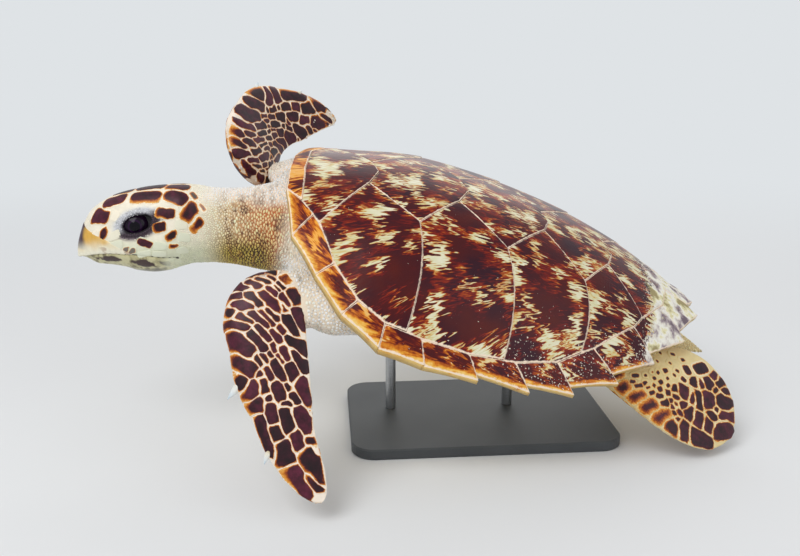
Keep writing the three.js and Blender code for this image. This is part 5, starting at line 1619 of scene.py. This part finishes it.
def scattered(density, pitch, seed):
    """Places on the skin no nearer to each other than the pitch, and the directions out of it."""
    mesh = bpy.data.meshes.new("flesh")
    mesh.from_pydata(skin_points.tolist(), [], skin_tris.tolist())
    mesh.attributes.new("density", "FLOAT", "POINT").data.foreach_set("value", density.astype(np.float32))
    flesh_object = added("flesh", mesh)
    group = bpy.data.node_groups.new("scatter", "GeometryNodeTree")
    for way in ("INPUT", "OUTPUT"):
        group.interface.new_socket("Geometry", in_out=way, socket_type="NodeSocketGeometry")
    surface = node(group, "NodeGroupInput")
    factor = node(group, "GeometryNodeInputNamedAttribute", {"Name": "density"}, data_type="FLOAT")
    drop = node(group, "GeometryNodeDistributePointsOnFaces", {
        "Mesh": surface, "Distance Min": pitch, "Density Max": 4.5 / pitch ** 2, "Seed": seed,
        "Density Factor": factor}, distribute_method="POISSON")
    vertices = node(group, "GeometryNodePointsToVertices", {"Points": drop})
    stored = node(group, "GeometryNodeStoreNamedAttribute", {
        "Geometry": vertices, "Name": "out", "Value": drop.node.outputs["Normal"]}, data_type="FLOAT_VECTOR")
    plug(group, group.nodes.new("NodeGroupOutput"), [stored])
    flesh_object.modifiers.new("scatter", "NODES").node_group = group
    found = flesh_object.evaluated_get(bpy.context.evaluated_depsgraph_get()).to_mesh()
    places, out = np.empty((2, len(found.vertices) * 3), np.float32)
    found.vertices.foreach_get("co", places)
    found.attributes["out"].data.foreach_get("vector", out)
    bpy.data.objects.remove(flesh_object)
    return places.reshape(-1, 3).astype(float), out.reshape(-1, 3).astype(float)


def head_place(points):
    """Each level point's place along the head, and its length down from the crown, right negative."""
    row = np.abs(points[:, :1] - head_x).argmin(1)
    column = np.empty(len(points), np.int64)
    for part in np.array_split(np.arange(len(points)), len(points) // 4000 + 1):
        column[part] = ((head_grid[row[part]] - points[part, None]) ** 2).sum(-1).argmin(1)
    share = column / HEAD_COLUMNS
    return np.column_stack([points[:, 0], (share - (share > 0.5)) * head_girth[row]])


plan = skin_points @ TILT
share_x, share_y = plan[:, 0] / SHELL, plan[:, 1] / SHELL
inside_rim = np.abs(share_y) < 0.97 * half_width(share_x.clip(0.001, 0.999))
under_horn = (share_x > 0.01) & (share_x < 0.99) & inside_rim
under_horn &= plan[:, 2] > SHELL * shell_height(share_x, share_y) - 10
over_belly = (share_x > 0.09) & (share_x < 0.89) & (np.abs(share_y) < plastron_width(share_x)[:, 0] - 0.004)
over_belly &= plan[:, 2] < SHELL * belly_height(share_x, share_y) + 9
hidden = under_horn | over_belly


def near_any(points, spots, within):
    """True where one of the spots lies within a distance: squares less twice the products."""
    found = np.zeros(len(points), bool)
    squares = (spots ** 2).sum(1)
    for block in np.array_split(np.arange(len(points)), len(points) // 1000 + 1):
        least = (squares - 2 * points[block] @ spots.T).min(1)
        found[block] = least + (points[block] ** 2).sum(1) < within ** 2
    return found


plated = np.zeros(len(skin_points), bool)
for side in ("left", "right"):
    for limb, key, bare_from in (
            (FORE[side], f"scales_fore_{side}", 25), (HIND[side], f"scales_hind_{side}", -10)):
        along, away = beside(skin_points, limb)
        plated |= (along > bare_from) & (away < 52 + 0.5 * (along - bare_from))
        beside_it = np.flatnonzero((along > -70) & (away < 200))
        plated[beside_it] |= near_any(skin_points[beside_it], np.concatenate(covered[key]), 3.2)

on_head = skin_points[:, 0] < -64
head_points = skin_points[on_head]
spot = head_place(head_points)
from_plates = np.full(len(spot), 99.0)
for at, line, width in zip(head_middle, head_axis, head_wide):
    from_plates = np.minimum(from_plates, core_distance(spot - at, line[None], np.array([width])))
near_lid = lid_distance(head_points) + 9 * (np.abs(head_points[:, 1]) < 12)
cover = np.maximum(beak_cover(head_points), jaw_cover(head_points))
bare = (from_plates > 2.1) & (near_lid > 1.62) & (cover < 0.2)
behind_plates = bare & ((head_points[:, 0] > -97) | (head_points[:, 2] < -57))
lid_ring = (near_lid > 1.06) & (near_lid < 1.62) & (from_plates > 1.2)
fine_zone, neck_zone = np.zeros(len(skin_points)), np.zeros(len(skin_points))
fine_zone[on_head] = lid_ring | behind_plates
open_skin = ~hidden & ~plated & ~on_head
ahead = skin_points[:, 0] + 6 * lumps(skin_points, 14, 24)
fine_zone[open_skin & (ahead < -58)] = 1
neck_zone[open_skin & (ahead >= -58) & (ahead < -36)] = 1
body_zone = (open_skin & (ahead >= -36)).astype(float)


PER_PIECE = 6800
GRAIN_RINGS = [0.62, 1.0]
GRAIN_HEIGHTS = np.array([1.0, 0.84, -0.3, -0.5])


def grain_coat(name, places, out, pitch, columns=7):
    """Small domed scales at places on the skin, each drawn out round the neck or limb by a
    share of its size that grows towards the shell."""
    round_way = np.cross(out, [1.0, 0.0, 0.0])
    round_way /= np.linalg.norm(round_way, axis=1, keepdims=True) + 1e-9
    other_way = np.cross(out, round_way)
    index = nearest(places, 8, 4 * pitch)
    off = places[index] - places[:, None]
    flat = np.stack([(off * round_way[:, None]).sum(-1), (off * other_way[:, None]).sum(-1)], -1)
    flat *= (np.linalg.norm(off, axis=-1) / (np.linalg.norm(flat, axis=-1) + 1e-6))[..., None]
    stretch = 0.6 * pitch * smooth(places[:, 0], -70, -30) * smooth(-places[:, 0], -50, -20)
    stretch *= 0.4 + 1.2 * random.random(len(places))
    line = np.column_stack([stretch, 0 * stretch])
    size = np.full(len(places), 0.32 * pitch) * (0.8 + 0.4 * random.random(len(places)))
    height = 0.3 * pitch * (0.75 + 0.5 * random.random(len(places)))
    uneven = 0.2 + 0.25 * smooth(places[:, :1], -90, -20)
    colour = (markings(places)[0] * (1.1 - uneven * random.random((len(places), 1)))).clip(0, 0.86)
    # Grains round the eyes: pale on the upper lid, a painted glint, and dark purple-grey below.
    lid_tone_and_glint = mix(lid_glint(places), "#3d2c38", "#d2d3d6") * (0.8 + 0.4 * random.random((len(places), 1)))
    colour = mix(smooth(-lid_distance(places), -1.7, -1.5) * (places[:, 0] < -90), colour, lid_tone_and_glint)
    angle = np.arctan2(places[:, 1], places[:, 2])
    root = np.column_stack([0.6 * (places[:, 0] + 160) / 760, 0.4 * (angle + np.pi) / (2 * np.pi)])
    pieces = np.array_split(np.argsort(places[:, 0]), math.ceil(len(places) / PER_PIECE))
    for number, rows in enumerate(pieces, 1):
        frame_of = [values[rows][:, None] for values in (places, round_way, other_way, out, height)]
        others = (flat[rows], line[index[rows]], size[index[rows]])
        gap = gap_function((line[rows], size[rows]), others, 0.07 * pitch, 0.05 * pitch, 0.3 * pitch)
        reach = reach_of(gap, 1.3 * pitch + stretch[rows], columns)

        def place_at(local, lift):
            """The point at a height over a place on each scale's tangent plane."""
            at, one_way, two_way, up, high = frame_of
            over = np.where(lift > 0, lift * high, lift)
            return at + local[..., :1] * one_way + local[..., 1:] * two_way + over[..., None] * up

        def paint(local, room, home):
            """One colour for all of a scale, wherever its points lie."""
            return {"tint": np.repeat(colour[rows][:, None], local.shape[1], axis=1)}

        coat(f"{name}_{number}", place_at, reach, gap, GRAIN_RINGS, GRAIN_HEIGHTS, paint,
             root[rows] + [0.35, 0.52], grain_hide)


# Granular hide: leathery round scales in the hide's own colours, a little glossier than the folds
grain_hide, tree, surface = new_material("granular hide")
place = node(tree, "TexCoord", output="Object")
fine = node(tree, "TexNoise", [place, 1000 / 1.2, 2.0, 0.6])
plug(tree, surface, {
    "Base Color": tinted(tree, fine, 0.3), "Roughness": 0.5,
    "Normal": node(tree, "Bump", {"Height": fine, "Distance": 0.0003, "Strength": 0.5})})

for name, zone, pitch, seed in (
        ("grains_fine", fine_zone, 1.8, 3), ("grains_neck", neck_zone, 2.3, 4),
        ("grains_body", body_zone, 2.9, 5)):
    places, out = scattered(zone, pitch, seed)
    grain_coat(name, places, out, pitch)

# ---- Studio: a pale floor, soft light and the camera ----
# A floor of matt paint keeps the turtle's shadow and fades into a backdrop of much the same grey,
# under three square soft boxes. The backdrop shows to the camera and in gloss, and lights no more.

BACKDROP = "#dfe3e6"
FADE = (0.55, 2.2)


def seen(tree):
    """One for the rays that show a background: from the camera, and through gloss and glass."""
    path = node(tree, "LightPath").node.outputs
    shown = path["Is Camera Ray"]
    for name in ("Is Glossy Ray", "Is Transmission Ray"):
        shown = node(tree, "Math", [shown, path[name]], operation="MAXIMUM")
    return shown


world = bpy.data.worlds.new("studio")
bpy.context.scene.world = world
world.use_nodes = True
tree = world.node_tree
light = node(tree, "Background", {"Color": "#ffffff", "Strength": 0.5})
backdrop = node(tree, "Background", {"Color": BACKDROP, "Strength": 1.0})
both = node(tree, "MixShader", [seen(tree), light, backdrop])
plug(tree, tree.nodes["World Output"], {"Surface": both})

# Matt floor paint, which fades into the backdrop's colour well away from the stand
floor_paint, tree, surface = new_material("studio floor, matt paint")
plug(tree, surface, {"Base Color": "#e6e8ea", "Roughness": 0.9})
place = node(tree, "TexCoord", output="Object")
far = node(tree, "VectorMath", [place], operation="LENGTH")
fade = node(tree, "MapRange", [far, *FADE], interpolation_type="SMOOTHSTEP")
fade = node(tree, "Math", [fade, seen(tree)], operation="MULTIPLY")
glow = node(tree, "Emission", {"Color": BACKDROP, "Strength": 1.0})
both = node(tree, "MixShader", [fade, surface.outputs["BSDF"], glow])
plug(tree, tree.nodes["Material Output"], {"Surface": both})
floor = build("floor", [(-9, -5, 0), (9, -5, 0), (9, 13, 0), (-9, 13, 0)], [], [0, 1, 2, 3], floor_paint)

TURTLE_MIDDLE = Vector((0, 0, 0.22))


def lamp(name, at, size, power):
    """A square soft box at a place, aimed at the turtle's middle."""
    light = bpy.data.lights.new(name, "AREA")
    light.shape = "SQUARE"
    light.size = size
    light.energy = power
    made = added(name, light)
    made.location = at
    made.rotation_euler = (TURTLE_MIDDLE - Vector(at)).to_track_quat("-Z", "Y").to_euler()


lamp("key", (-1.3, -1.3, 2.2), 1.6, 34)
lamp("fill", (1.8, -1.6, 1.2), 2.2, 12)
lamp("back", (0.6, 2.2, 1.8), 2.0, 16)

camera_data = bpy.data.cameras.new("camera")
camera_data.lens = 40.94
camera_data.sensor_width = 36
camera = added("camera", camera_data)
right = Vector((0.99637, -0.08516, 0)).normalized()
forward = Vector((0.08226, 0.96242, -0.25882)).normalized()
up = right.cross(forward)
camera.matrix_world = Matrix((right, up, -forward)).transposed().to_4x4()
camera.location = (-0.175, -0.991, 0.442)
bpy.context.scene.camera = camera
bpy.context.scene.view_settings.view_transform = "Standard"
